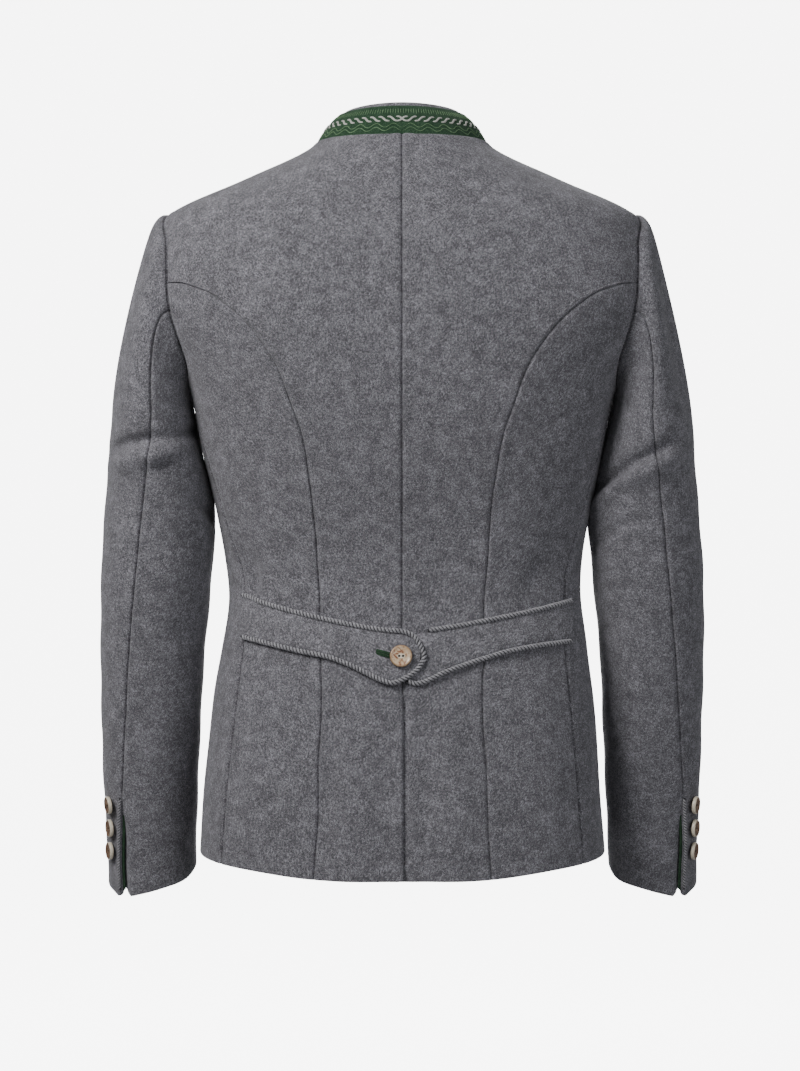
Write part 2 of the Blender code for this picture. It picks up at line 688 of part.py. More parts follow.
def tube(name, line, radius, sides, colour):
    """A round cord with flat ends along a line of points."""
    ahead = np.gradient(line, axis=0)
    ahead = unit(ahead)
    turned = unit(np.cross(ahead[0], [0.3, 0.2, 1.0]))
    points, faces = [], []
    for centre, forward in zip(line, ahead):
        turned = unit(turned - forward * np.dot(turned, forward))
        third = np.cross(forward, turned)
        for k in range(sides):
            swing = 2 * math.pi * k / sides
            points.append(centre + radius * (math.cos(swing) * turned + math.sin(swing) * third))
    for row in range(len(line) - 1):
        for k in range(sides):
            a, b = row * sides + k, row * sides + (k + 1) % sides
            faces.append((a, b, b + sides, a + sides))
    faces.append(tuple(range(sides)))
    faces.append(tuple(len(line) * sides - 1 - k for k in range(sides)))
    return placed(name, points, faces, colour, 0.75)


def belt_lift(across):
    """How far the belt's left piece stands off the back: it climbs over the right piece's end."""
    climb = np.clip((0.034 - across) / 0.022, 0, 1)
    return LAID_GAP + (BELT_WALL + SEAM_GAP + 0.0002) * climb * climb * (3 - 2 * climb)


def belt_outline(table, count, inset):
    """A belt piece's edge moved inwards: along its top to the tip, then back along its bottom."""
    rows = np.array(table)
    parts = np.linspace(0, 1, count)
    line = np.concatenate([along(rows[:, [0, 1]], parts), along(rows[:, [0, 2]], parts)[::-1]])
    forward = np.gradient(line, axis=0)
    inward = unit(np.stack([-forward[:, 1], forward[:, 0]], axis=-1))
    return line + inward * inset, count


def belt_piece(name, table, side, colour):
    """A belt piece inside its cord, on the back's face."""
    line, count = belt_outline(table, 21, 2 * CORD_RADIUS + SEAM_GAP)
    rows = np.linspace(0, 1, 5)[:, None, None]
    grid = line[:count][None] * (1 - rows) + line[count:][::-1][None] * rows
    angle = behind_angle(grid[..., 0], grid[..., 1])
    lift = belt_lift(grid[..., 0]) if side > 0 else np.full(angle.shape, LAID_GAP)
    outer = torso(side * angle, grid[..., 1], lift + BELT_WALL)
    inner = torso(side * angle, grid[..., 1], lift)
    wall(name, outer, inner, colour, 0.92)


def belt_cord(name, line, side, colour):
    """A cord along a line of (distance from the centre, height) pairs on the back."""
    angle = behind_angle(line[:, 0], line[:, 1])
    lift = belt_lift(line[:, 0]) if side > 0 else np.full(angle.shape, LAID_GAP)
    tube(name, torso(side * angle, line[:, 1], lift + CORD_RADIUS), CORD_RADIUS, 8, colour)


def button(name, centre, facing, radius, thickness, colour):
    """A horn disc with a raised rim, a dished middle and two sewing holes."""
    profile = (
        (0.000, 0.00), (0.80, 0.00), (0.96, 0.22), (1.00, 0.50), (0.96, 0.84),
        (0.86, 1.00), (0.74, 0.96), (0.62, 0.76), (0.000, 0.70),
    )
    steps = 24
    points = [(0.0, 0.0, 0.0)]
    for reach, level in profile[1:-1]:
        for k in range(steps):
            swing = 2 * math.pi * k / steps
            points.append((radius * reach * math.cos(swing), radius * reach * math.sin(swing), thickness * level))
    points.append((0.0, 0.0, thickness * profile[-1][1]))
    last = len(points) - 1
    faces = [(0, 1 + (k + 1) % steps, 1 + k) for k in range(steps)]
    for ring in range(len(profile) - 3):
        for k in range(steps):
            a, b = 1 + ring * steps + k, 1 + ring * steps + (k + 1) % steps
            faces.append((a, b, b + steps, a + steps))
    start = last - steps
    faces += [(start + k, start + (k + 1) % steps, last) for k in range(steps)]
    piece = placed(name, points, faces, colour, 0.35)
    for offset in (-0.17, 0.17):
        bpy.ops.mesh.primitive_cylinder_add(vertices=10, radius=radius * 0.085, depth=thickness * 3,
                                            location=(radius * offset, 0, 0))
        cutter = bpy.context.active_object
        cut = piece.modifiers.new("hole", "BOOLEAN")
        cut.operation, cut.solver, cut.object = "DIFFERENCE", "EXACT", cutter
        bpy.ops.object.select_all(action="DESELECT")
        piece.select_set(True)
        bpy.context.view_layer.objects.active = piece
        bpy.ops.object.modifier_apply(modifier=cut.name)
        bpy.data.objects.remove(cutter)
    turn = Vector(facing).to_track_quat("Z", "Y").to_matrix().to_4x4()
    piece.data.transform(Matrix.Translation(Vector(centre)) @ turn)
    return piece


def collar_point(angle, share, drop):
    """A point of the standing collar; drop is how far it lies inside the collar's outer face."""
    foot_height = neck_height(angle)
    foot = torso_plain(angle, foot_height)
    turn = np.radians(angle)
    ahead = (1 - np.cos(turn)) / 2
    depth = np.where(np.cos(turn) >= 0, 0.0575, 0.0790)
    radius = ((np.abs(np.sin(turn)) / 0.0625) ** 2.15 + (np.abs(np.cos(turn)) / depth) ** 2.15) ** (-1 / 2.15)
    top = np.stack([radius * np.sin(turn), radius * np.cos(turn),
                    foot_height + COLLAR_RISE + 0.004 * ahead], axis=-1)
    share = np.asarray(share)[..., None]
    line = foot * (1 - share) + top * share
    line[..., 2] += SEAM_GAP * 2
    lean = unit(foot - top)
    outwards = foot * np.array([1.0, 1.0, 0.0])
    outwards = unit(outwards - lean * np.sum(outwards * lean, axis=-1, keepdims=True))
    outwards[..., 2] *= np.clip(share[..., 0] * 3, 0, 1)
    bow = 0.0016 * np.sin(math.pi * share)
    return line + outwards * (bow - drop)


def build_collar(outer_colour, inner_colour):
    strip = neck_front_angles()
    half = np.concatenate([np.linspace(0.0, 90.0, 7), np.linspace(90.0, strip[-1], 6)[1:], strip[3:1:-1]])
    angles = np.concatenate([-half[:0:-1], half])
    rounding = np.clip((np.abs(angles) - (half[-1] - 9)) / 9, 0, 1)
    shares = np.array([0.0, 0.5, 1.0])[:, None] * (1 - 0.28 * rounding**3)[None]
    angle = np.broadcast_to(angles, shares.shape)
    outer = collar_point(angle, shares, 0.0)
    inner = collar_point(angle, shares, FELT_WALL)
    wall("collar_outer", outer, inner, outer_colour, 0.95)
    taller = shares.copy()
    taller[-1] *= 1 + COLLAR_EDGE_RISE / COLLAR_RISE
    first = FELT_WALL + SEAM_GAP * 2
    outer = collar_point(angle, taller, first)
    inner = collar_point(angle, taller, first + FELT_WALL)
    wall("collar_inner", outer, inner, inner_colour, 0.95)


def build_belt(cloth, cord, felt, horn):
    belt_piece("belt_left", BELT_LEFT, 1, cloth)
    belt_piece("belt_right", BELT_RIGHT, -1, cloth)
    line, _ = belt_outline(BELT_LEFT, 40, CORD_RADIUS)
    belt_cord("belt_left_cord", line, 1, cord)
    line, count = belt_outline(BELT_RIGHT, 40, CORD_RADIUS)
    upper, lower = line[:count], line[count:]
    belt_cord("belt_right_cord_top", upper[upper[:, 0] > 0.0275], -1, cord)
    belt_cord("belt_right_cord_bottom", lower[lower[:, 0] > 0.0265], -1, cord)

    rows = np.linspace(0, 1, 3)[:, None]
    across = np.linspace(0.0250, 0.0080, 6)[None] + rows * 0
    height = -0.4950 + (across - 0.0165) * 0.30 + (0.5 - rows) * 0.0056
    angle = behind_angle(across, height)
    base = belt_lift(across) + BELT_WALL + SEAM_GAP
    wall("belt_buttonhole", torso(angle, height, base + 0.0008), torso(angle, height, base), felt, 0.95)

    spot = np.array([behind_angle(0.0007, -0.4973)]), np.array([-0.4973])
    lift = float(belt_lift(0.0007)) + BELT_WALL + SEAM_GAP + 0.0013
    button("belt_button", torso(*spot, lift)[0], torso_normal(*spot)[0], BELT_BUTTON_RADIUS, 0.0036, horn)


def build_sleeve(side, word, cloth, felt, cord, horn):
    sleeve_panel("top_sleeve_" + word, TOP_SLEEVE_STATIONS, side, cloth)
    sleeve_panel("under_sleeve_" + word, UNDER_SLEEVE_STATIONS, side, cloth, CUFF_VENT_WIDTH)
    cuff_facing("cuff_facing_" + word, side, felt)

    flip = np.array([side, 1.0, 1.0])
    points, normals = sleeve_grid(TOP_SLEEVE_STATIONS, side)
    if normals[-3, 4, 0] < 0:
        normals = -normals
    first = len(CAP_ROWS) + ARM_ROWS.index(0.783)
    edge = points[first:, -1] + unit(points[first:, -2] - points[first:, -1]) * 0.0018
    edge = edge + normals[first:, -1] * (CUFF_CORD_RADIUS + 0.0006)
    edge[0] += (edge[1] - edge[0]) * 0.3
    line = along(edge, np.linspace(0, 1, 12))
    tube("cuff_cord_" + word, line * flip, CUFF_CORD_RADIUS, 8, cord)

    for number, share in enumerate(CUFF_BUTTON_ROWS, 1):
        height = BICEP + share * (cuff_height(CUFF_BUTTON_ANGLE) - BICEP)
        spot = [sleeve_section(np.array(CUFF_BUTTON_ANGLE + turn), np.array(height + rise), side)
                for turn, rise in ((0, 0), (1, 0), (0, 0.001))]
        facing = unit(np.cross(spot[1] - spot[0], spot[2] - spot[0]))
        if facing[0] < 0:
            facing = -facing
        centre = spot[0] + facing * (LAID_GAP + 0.0003)
        button("cuff_button_%s_%d" % (word, number), centre * flip, facing * flip,
               CUFF_BUTTON_RADIUS, 0.0030, horn)


def build_front_buttons(horn):
    for number, height in enumerate(FRONT_BUTTON_HEIGHTS, 1):
        spot = np.array([180.0]), np.array([height])
        centre = torso(*spot, LAID_GAP + 0.0004)[0]
        button("front_button_%d" % number, centre, torso_normal(*spot)[0], FRONT_BUTTON_RADIUS, 0.0036, horn)


def main():
    for piece in list(bpy.data.objects):
        bpy.data.objects.remove(piece)
    loden = (0.20, 0.20, 0.215)
    green = (0.045, 0.11, 0.065)
    cord = (0.32, 0.32, 0.33)
    horn = (0.42, 0.27, 0.14)
    princess, side = seam_lines()
    build_back(princess, loden)
    build_side_backs(princess, side, loden)
    build_fronts(side, loden)
    for sign, word in ((1, "left"), (-1, "right")):
        build_sleeve(sign, word, loden, green, cord, horn)
    build_collar(green, loden)
    build_belt(loden, cord, green, horn)
    build_front_buttons(horn)


main()
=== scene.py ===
import math

import bmesh
import bpy
import numpy as np
from mathutils import Matrix, Vector


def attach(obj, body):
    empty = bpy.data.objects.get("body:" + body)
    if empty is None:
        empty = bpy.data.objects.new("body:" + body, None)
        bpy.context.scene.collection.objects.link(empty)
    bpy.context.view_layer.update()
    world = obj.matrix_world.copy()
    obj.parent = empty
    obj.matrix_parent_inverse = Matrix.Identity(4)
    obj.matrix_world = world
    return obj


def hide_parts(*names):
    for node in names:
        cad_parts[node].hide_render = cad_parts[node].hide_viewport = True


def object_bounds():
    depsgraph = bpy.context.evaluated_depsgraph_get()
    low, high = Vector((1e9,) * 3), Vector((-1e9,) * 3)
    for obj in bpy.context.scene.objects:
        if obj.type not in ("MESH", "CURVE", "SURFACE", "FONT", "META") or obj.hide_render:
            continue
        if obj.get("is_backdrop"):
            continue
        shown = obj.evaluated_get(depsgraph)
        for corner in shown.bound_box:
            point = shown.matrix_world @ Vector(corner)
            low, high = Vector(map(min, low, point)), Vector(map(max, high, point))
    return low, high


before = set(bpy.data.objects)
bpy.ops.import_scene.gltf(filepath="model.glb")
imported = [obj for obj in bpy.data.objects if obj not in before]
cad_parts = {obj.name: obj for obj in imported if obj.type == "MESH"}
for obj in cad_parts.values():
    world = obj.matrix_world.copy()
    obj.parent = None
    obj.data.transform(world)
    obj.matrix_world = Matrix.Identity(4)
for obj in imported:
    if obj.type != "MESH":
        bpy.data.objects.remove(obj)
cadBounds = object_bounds()
bpy.ops.object.select_all(action="DESELECT")

# Camera and light

view = {"place": (0.002, 2.500, -0.3817), "lens": 85.3}
cameraData = bpy.data.cameras.new("camera")
cameraData.lens = view["lens"]
cameraData.sensor_width = 36.0
cameraData.clip_end = 30.0
camera = bpy.data.objects.new("camera", cameraData)
camera.location = view["place"]
camera.rotation_euler = (math.radians(90), 0, math.radians(180))
bpy.context.scene.collection.objects.link(camera)
bpy.context.scene.camera = camera

# name, place, width, power, warmth of the colour
studioLights = (
    ("keyLight", (1.30, 1.16, 0.84), 0.85, 45.5, (1.0, 0.985, 0.97)),
    ("fillLight", (-1.60, 1.90, 0.00), 1.6, 18.5, (0.97, 0.98, 1.0)),
    ("topLight", (0.20, 0.60, 1.50), 1.2, 2.5, (1.0, 1.0, 1.0)),
    ("frontLight", (0.30, -2.40, 1.30), 1.6, 16.0, (1.0, 1.0, 1.0)),
)
for lightName, place, width, power, tint in studioLights:
    lightData = bpy.data.lights.new(lightName, "AREA")
    lightData.size = width
    lightData.energy = power
    lightData.color = tint
    light = bpy.data.objects.new(lightName, lightData)
    light.location = place
    light.rotation_euler = (Vector((0, 0, -0.32)) - Vector(place)).to_track_quat("-Z", "Y").to_euler()
    bpy.context.scene.collection.objects.link(light)
world = bpy.data.worlds.new("studioAir")
world.use_nodes = True
world.node_tree.nodes["Background"].inputs["Color"].default_value = (0.93, 0.94, 0.95, 1)
world.node_tree.nodes["Background"].inputs["Strength"].default_value = 0.14
bpy.context.scene.world = world
print("camera and lights placed")

# Shape of the body and the sleeves

# height, half width, depth behind, depth in front, squareness
torsoSections = (
    (-0.740, 0.2015, 0.1230, 0.1370, 2.50),
    (-0.660, 0.1965, 0.1180, 0.1330, 2.50),
    (-0.600, 0.1915, 0.1120, 0.1300, 2.45),
    (-0.540, 0.1850, 0.1040, 0.1270, 2.40),
    (-0.490, 0.1765, 0.0940, 0.1230, 2.35),
    (-0.440, 0.1705, 0.0870, 0.1200, 2.30),
    (-0.400, 0.1745, 0.0880, 0.1220, 2.35),
    (-0.360, 0.1825, 0.0940, 0.1260, 2.45),
    (-0.300, 0.1962, 0.1050, 0.1320, 2.60),
    (-0.245, 0.2065, 0.1130, 0.1350, 2.80),
    (-0.215, 0.2160, 0.1145, 0.1330, 2.90),
    (-0.190, 0.2290, 0.1150, 0.1290, 3.00),
    (-0.165, 0.2400, 0.1150, 0.1240, 3.00),
    (-0.133, 0.2460, 0.1130, 0.1160, 2.80),
    (-0.100, 0.2420, 0.1085, 0.1050, 2.60),
    (-0.067, 0.2275, 0.1000, 0.0900, 2.45),
    (-0.033, 0.1545, 0.0890, 0.0750, 2.25),
    (-0.002, 0.0905, 0.0770, 0.0620, 2.15),
    (0.004, 0.0835, 0.0745, 0.0595, 2.15),
    (0.020, 0.0700, 0.0680, 0.0520, 2.15),
)
# distance from the centre, height
princessSeam = (
    (0.2107, -0.1403), (0.1996, -0.1444), (0.1856, -0.1499), (0.1689, -0.1615), (0.1555, -0.1727),
    (0.1421, -0.1871), (0.1311, -0.2023), (0.1201, -0.2195), (0.1126, -0.2365), (0.1070, -0.2524),
    (0.0966, -0.2817), (0.0884, -0.3290), (0.0838, -0.3765), (0.0814, -0.4050), (0.0781, -0.4537),
    (0.0767, -0.5546), (0.0799, -0.5940), (0.0811, -0.6464), (0.0838, -0.7040),
)
# angle round the body, height
sideSeam = (
    (79.0, -0.300), (77.0, -0.360), (74.0, -0.440), (71.0, -0.480), (68.5, -0.540),
    (67.0, -0.660), (67.0, -0.6965),
)
hemLine = ((0.0, -0.7070), (40.0, -0.7048), (60.0, -0.6980), (90.0, -0.6900), (130.0, -0.6930),
           (180.0, -0.7000), (200.0, -0.7000))
# height, inner side, outer side, back, front
sleeveSections = (
    (-0.262, 0.2042, 0.2845, 0.0750, -0.0750),
    (-0.300, 0.1962, 0.2875, 0.0720, -0.0700),
    (-0.360, 0.1835, 0.2925, 0.0620, -0.0620),
    (-0.400, 0.1860, 0.2955, 0.0580, -0.0580),
    (-0.440, 0.1895, 0.2970, 0.0520, -0.0580),
    (-0.500, 0.1955, 0.2978, 0.0420, -0.0640),
    (-0.560, 0.1990, 0.2975, 0.0300, -0.0680),
    (-0.620, 0.2025, 0.2970, 0.0180, -0.0740),
    (-0.680, 0.2055, 0.2950, 0.0080, -0.0800),
    (-0.750, 0.2075, 0.2935, -0.0010, -0.0870),
)
# height, hind seam, fore seam
sleeveSeams = (
    (-0.262, 97.0, 285.0), (-0.300, 89.0, 286.0), (-0.330, 82.0, 287.0), (-0.360, 77.0, 288.0),
    (-0.400, 75.0, 289.0), (-0.584, 62.0, 291.0), (-0.631, 58.0, 292.0), (-0.750, 56.0, 293.0),
)
# angle, sideways, backwards, upwards
sleeveHead = (
    (0.0, 0.032, 0.000, 0.004), (40.0, 0.042, 0.016, 0.000), (79.0, 0.062, 0.020, -0.006),
    (97.0, 0.052, 0.014, -0.006), (135.0, 0.022, 0.004, -0.004), (180.0, 0.004, 0.000, -0.006),
    (225.0, 0.026, -0.004, -0.004), (263.0, 0.052, -0.014, -0.006), (285.0, 0.070, -0.020, -0.006),
    (320.0, 0.042, -0.016, 0.000), (360.0, 0.032, 0.000, 0.004),
)
# angle round the sleeve, height of its end
cuffLine = ((-80.0, -0.7170), (0.0, -0.7270), (30.0, -0.7325), (57.0, -0.7385), (82.0, -0.7352),
            (113.0, -0.7290), (144.0, -0.7228), (175.0, -0.7132), (215.0, -0.7085), (280.0, -0.7170))
# side, angle, angle width, height, height spread, rise
bodySwells = (
    (1, 20.0, 9.0, -0.640, 0.090, 0.0030), (1, 34.0, 6.0, -0.640, 0.080, -0.0025),
    (-1, 24.0, 9.0, -0.640, 0.090, 0.0030), (-1, 12.0, 6.0, -0.620, 0.080, -0.0020),
    (-1, 57.0, 8.0, -0.600, 0.080, 0.0025), (1, 58.0, 8.0, -0.610, 0.080, 0.0025),
    (-1, 86.0, 22.0, -0.470, 0.100, 0.0060), (1, 72.0, 9.0, -0.415, 0.022, -0.0035),
    (-1, 70.0, 9.0, -0.410, 0.022, -0.0030),
)
# creases: side, from angle and height, to angle and height, half width, rise
bodyCreases = (
    (1, 71.0, -0.400, 69.0, -0.440, 0.0060, -0.0040),
    (1, 60.0, -0.390, 66.0, -0.440, 0.0080, 0.0020),
    (-1, 66.0, -0.405, 62.0, -0.436, 0.0070, -0.0030),
    (1, 30.0, -0.420, 12.0, -0.455, 0.0120, -0.0014),
    (-1, 28.0, -0.418, 10.0, -0.452, 0.0120, -0.0014),
    (1, 52.0, -0.330, 40.0, -0.400, 0.0160, -0.0016),
    (-1, 50.0, -0.330, 38.0, -0.395, 0.0160, -0.0016),
    (1, 64.0, -0.215, 50.0, -0.300, 0.0150, -0.0022),
    (-1, 62.0, -0.215, 50.0, -0.300, 0.0150, -0.0022),
    (1, 30.0, -0.540, 34.0, -0.690, 0.0140, -0.0016),
    (-1, 33.0, -0.560, 36.0, -0.690, 0.0140, -0.0016),
    (1, 120.0, -0.210, 150.0, -0.300, 0.0160, -0.0020),
    (-1, 122.0, -0.215, 150.0, -0.295, 0.0160, -0.0020),
    (1, 105.0, -0.430, 130.0, -0.445, 0.0120, -0.0018),
    (-1, 107.0, -0.425, 132.0, -0.448, 0.0120, -0.0018),
)
sleeveCreases = (
    (1, 20.0, -0.300, 112.0, -0.289, 0.0060, -0.0058),
    (1, 40.0, -0.317, 128.0, -0.303, 0.0085, 0.0042),
    (1, 95.0, -0.318, 125.0, -0.309, 0.0040, -0.0028),
    (1, 120.0, -0.286, 175.0, -0.280, 0.0060, -0.0035),
    (1, 130.0, -0.345, 180.0, -0.372, 0.0090, -0.0036),
    (1, 60.0, -0.400, 130.0, -0.392, 0.0130, -0.0014),
    (1, 110.0, -0.470, 165.0, -0.500, 0.0130, -0.0018),
    (1, 250.0, -0.330, 320.0, -0.350, 0.0090, -0.0040),
    (1, 240.0, -0.350, 315.0, -0.372, 0.0100, 0.0030),
    (1, 255.0, -0.395, 300.0, -0.385, 0.0080, -0.0025),
    (-1, 62.0, -0.290, 168.0, -0.343, 0.0060, -0.0056),
    (-1, 66.0, -0.307, 165.0, -0.359, 0.0085, 0.0040),
    (-1, 100.0, -0.366, 160.0, -0.392, 0.0060, -0.0024),
    (-1, 60.0, -0.392, 130.0, -0.404, 0.0130, -0.0014),
    (-1, 105.0, -0.455, 165.0, -0.480, 0.0130, -0.0018),
    (-1, 30.0, -0.262, 85.0, -0.256, 0.0090, -0.0018),
    (-1, 245.0, -0.335, 322.0, -0.352, 0.0090, -0.0040),
    (-1, 242.0, -0.354, 310.0, -0.374, 0.0100, 0.0030),
    (-1, 250.0, -0.400, 305.0, -0.388, 0.0080, -0.0025),
)
shape = {
    "wall": 0.0020, "beltWall": 0.0024, "lapOver": 0.00004,
    "neckDepth": 0.093, "armholeMiddle": -0.156, "armholeHalfHeight": 0.089,
    "armholeBack": 0.068, "armholeFront": 0.070, "bicep": -0.262, "ventTop": -0.528,
}


def flowing(places, values, at):
    places = np.asarray(places, float)
    values = np.asarray(values, float)
    if places[0] > places[-1]:
        places, values = places[::-1], values[::-1]
    steps = np.diff(places)
    rises = np.diff(values) / steps
    slopes = np.empty(len(places))
    slopes[0], slopes[-1] = rises[0], rises[-1]
    slopes[1:-1] = (rises[:-1] * steps[1:] + rises[1:] * steps[:-1]) / (steps[:-1] + steps[1:])
    at = np.clip(np.asarray(at, float), places[0], places[-1])
    low = np.clip(np.searchsorted(places, at, side="right") - 1, 0, len(steps) - 1)
    step = steps[low]
    part = (at - places[low]) / step
    start = (1 + 2 * part) * (1 - part) ** 2 * values[low] + part * (1 - part) ** 2 * step * slopes[low]
    end = part**2 * (3 - 2 * part) * values[low + 1] + part**2 * (part - 1) * step * slopes[low + 1]
    return start + end


def column(table, at, which):
    rows = np.asarray(table, float)
    return flowing(rows[:, 0], rows[:, which], at)


def along(points, parts):
    points = np.asarray(points, float)
    lengths = np.linalg.norm(np.diff(points, axis=0), axis=1)
    reach = np.concatenate([[0.0], np.cumsum(lengths)])
    reach /= reach[-1]
    return np.stack([flowing(reach, points[:, k], parts) for k in range(points.shape[1])], axis=-1)


def unitOf(vectors):
    return vectors / np.maximum(np.linalg.norm(vectors, axis=-1, keepdims=True), 1e-12)


def easedStep(low, high, at):
    part = np.clip((np.asarray(at, float) - low) / (high - low), 0, 1)
    return part * part * (3 - 2 * part)


def creaseRise(creases, side, angle, height, radius):
    # a soft trough or ridge along a line, fading at both ends
    total = np.zeros(np.broadcast(angle, height).shape)
    perDegree = radius * math.pi / 180
    for where, angleA, heightA, angleB, heightB, halfWidth, amount in creases:
        if where != side:
            continue
        startX, stopX = angleA * perDegree, angleB * perDegree
        runX, runZ = stopX - startX, heightB - heightA
        length = math.hypot(runX, runZ)
        offX, offZ = angle * perDegree - startX, height - heightA
        share = (offX * runX + offZ * runZ) / length**2
        sideways = (offX * runZ - offZ * runX) / length
        sideways = sideways + 0.10 * length * np.sin(share * 2.6) * 0.35
        fade = easedStep(-0.22, 0.30, share) * easedStep(1.22, 0.62, share)
        total = total + amount * fade * np.exp(-((sideways / halfWidth) ** 2))
    return total


def torsoRadius(angle, height):
    turn = np.radians(angle)
    depth = np.where(np.cos(turn) >= 0, column(torsoSections, height, 2), column(torsoSections, height, 3))
    square = column(torsoSections, height, 4)
    across = np.abs(np.sin(turn)) / column(torsoSections, height, 1)
    through = np.abs(np.cos(turn)) / depth
    return (across**square + through**square) ** (-1 / square)


def torsoSwell(angle, height):
    wrapped = (np.asarray(angle) + 180.0) % 360.0 - 180.0
    rise = np.zeros(np.broadcast(angle, height).shape)
    for side, middle, spread, level, reach, amount in bodySwells:
        near = ((side * wrapped - middle) / spread) ** 2 + ((height - level) / reach) ** 2
        rise = rise + amount * np.exp(-near)
    for side in (1, -1):
        rise = rise + creaseRise(bodyCreases, side, side * wrapped, height, 0.14)
    turn = np.radians(angle)
    slack = np.sin(5 * turn + 21 * height + 1.3) * np.sin(33 * height - 2 * turn)
    return rise + 0.0007 * slack * easedStep(-0.03, -0.12, height)


def torsoPlain(angle, height):
    radius = torsoRadius(angle, height) + torsoSwell(angle, height)
    turn = np.radians(angle)
    height = np.broadcast_to(height, radius.shape)
    return np.stack([radius * np.sin(turn), radius * np.cos(turn), height], axis=-1)


def torsoNormal(angle, height):
    roundIt = torsoPlain(angle + 0.4, height) - torsoPlain(angle - 0.4, height)
    upIt = torsoPlain(angle, height + 0.0008) - torsoPlain(angle, height - 0.0008)
    return unitOf(np.cross(upIt, roundIt))


def torsoAt(angle, height, lift=0.0):
    lift = np.broadcast_to(lift, np.broadcast(angle, height).shape)
    return torsoPlain(angle, height) + torsoNormal(angle, height) * lift[..., None]


def behindAngle(across, height):
    square = column(torsoSections, height, 4)
    share = np.clip(np.abs(across) / column(torsoSections, height, 1), 0, 1)
    depth = column(torsoSections, height, 2) * (1 - share**square) ** (1 / square)
    return np.degrees(np.arctan2(across, depth))


def armholeAt(station):
    turn = np.radians(station)
    height = shape["armholeMiddle"] + shape["armholeHalfHeight"] * np.cos(turn)
    depth = np.where(np.sin(turn) >= 0, shape["armholeBack"], shape["armholeFront"]) * np.sin(turn)
    half = np.where(depth >= 0, column(torsoSections, height, 2), column(torsoSections, height, 3))
    square = column(torsoSections, height, 4)
    across = column(torsoSections, height, 1) * (1 - (np.abs(depth) / half) ** square) ** (1 / square)
    return np.stack([np.degrees(np.arctan2(across, depth)), height], axis=-1)


def neckHeight(angle):
    turn = np.radians(np.abs(angle))
    across = np.abs(np.sin(turn)) / column(torsoSections, 0.004, 1)
    through = np.abs(np.cos(turn)) / shape["neckDepth"]
    target = (across**2.15 + through**2.15) ** (-1 / 2.15)
    low = np.full(np.shape(turn), -0.16)
    high = np.full(np.shape(turn), 0.004)
    for _ in range(36):
        middle = (low + high) / 2
        outside = torsoRadius(np.abs(angle), middle) > target
        low = np.where(outside, middle, low)
        high = np.where(outside, high, middle)
    return np.where(np.cos(turn) >= 0, 0.004, (low + high) / 2)


def hemHeight(angle):
    return column(hemLine, np.abs(angle), 1)


def sleeveSection(angle, height, side):
    inner, outer, back, front = (column(sleeveSections, height, k) for k in (1, 2, 3, 4))
    turn = np.radians(angle)
    spread = (np.abs(np.cos(turn)) ** 2.15 + np.abs(np.sin(turn)) ** 2.15) ** (-1 / 2.15)
    wrapped = (np.asarray(angle) + 60.0) % 360.0 - 60.0
    rise = creaseRise(sleeveCreases, side, wrapped, height, 0.047)
    rise = 1.35 * (rise + creaseRise(sleeveCreases, side, wrapped + 360.0, height, 0.047))
    rise = rise + 0.0008 * np.sin(3 * turn + 38 * height) * np.sin(61 * height + side)
    x = (outer + inner) / 2 + ((outer - inner) / 2 * spread + rise) * np.cos(turn)
    y = (back + front) / 2 + ((back - front) / 2 * spread + rise) * np.sin(turn)
    return np.stack([x, y, np.broadcast_to(height, x.shape)], axis=-1)


def sleeveAngles(station, height, first, last):
    hind = column(sleeveSeams, height, 1)
    fore = column(sleeveSeams, height, 2)
    ends = {97.0: hind, 285.0: fore, -75.0: fore - 360.0}
    return ends[first] + (station - first) / (last - first) * (ends[last] - ends[first])


def sleeveCap(station, lower, share, side):
    pairs = armholeAt(station)
    start = torsoPlain(pairs[..., 0] * side, pairs[..., 1]) * np.array([side, 1.0, 1.0])
    end = sleeveSection(lower, np.full(np.shape(lower), shape["bicep"]), side)
    wrapped = np.asarray(station) % 360.0
    leave = np.stack([column(sleeveHead, wrapped, k) for k in (1, 2, 3)], axis=-1)
    below = sleeveSection(lower, np.full(np.shape(lower), shape["bicep"] - 0.004), side)
    arrive = unitOf(below - end) * np.linalg.norm(end - start, axis=-1, keepdims=True)
    s = np.asarray(share)[..., None]
    first = (1 + 2 * s) * (1 - s) ** 2 * start + s * (1 - s) ** 2 * leave
    top = (0.5 + 0.5 * np.cos(np.radians(wrapped)))[..., None] ** 2
    first = first + np.array([0.0052, 0.0, 0.0012]) * top * s / 0.13 * np.exp(1 - s / 0.13)
    return first + s**2 * (3 - 2 * s) * end + s**2 * (s - 1) * arrive


# Making cloth from grids of points

def filled(topLine, bottomLine, left, right, u):
    spots = np.linspace(0, 1, len(topLine))
    top = np.stack([np.interp(u, spots, topLine[:, k]) for k in (0, 1)], axis=-1)
    spots = np.linspace(0, 1, len(bottomLine))
    bottom = np.stack([np.interp(u, spots, bottomLine[:, k]) for k in (0, 1)], axis=-1)
    u = u[None, :, None]
    v = np.linspace(0, 1, len(left))[:, None, None]
    topBend = top[None] - (1 - u) * top[0] - u * top[-1]
    bottomBend = bottom[None] - (1 - u) * bottom[0] - u * bottom[-1]
    return (1 - u) * left[:, None] + u * right[:, None] + (1 - v) ** 3 * topBend + v * bottomBend


def closeAtEnds(count, width):
    # shares across a panel, closest beside its seams
    near = np.array([0.0, 0.0005, 0.0011, 0.0019, 0.0030, 0.0046]) / width
    return np.concatenate([near, np.linspace(0.0068 / width, 1 - 0.0068 / width, count), 1 - near[::-1]])


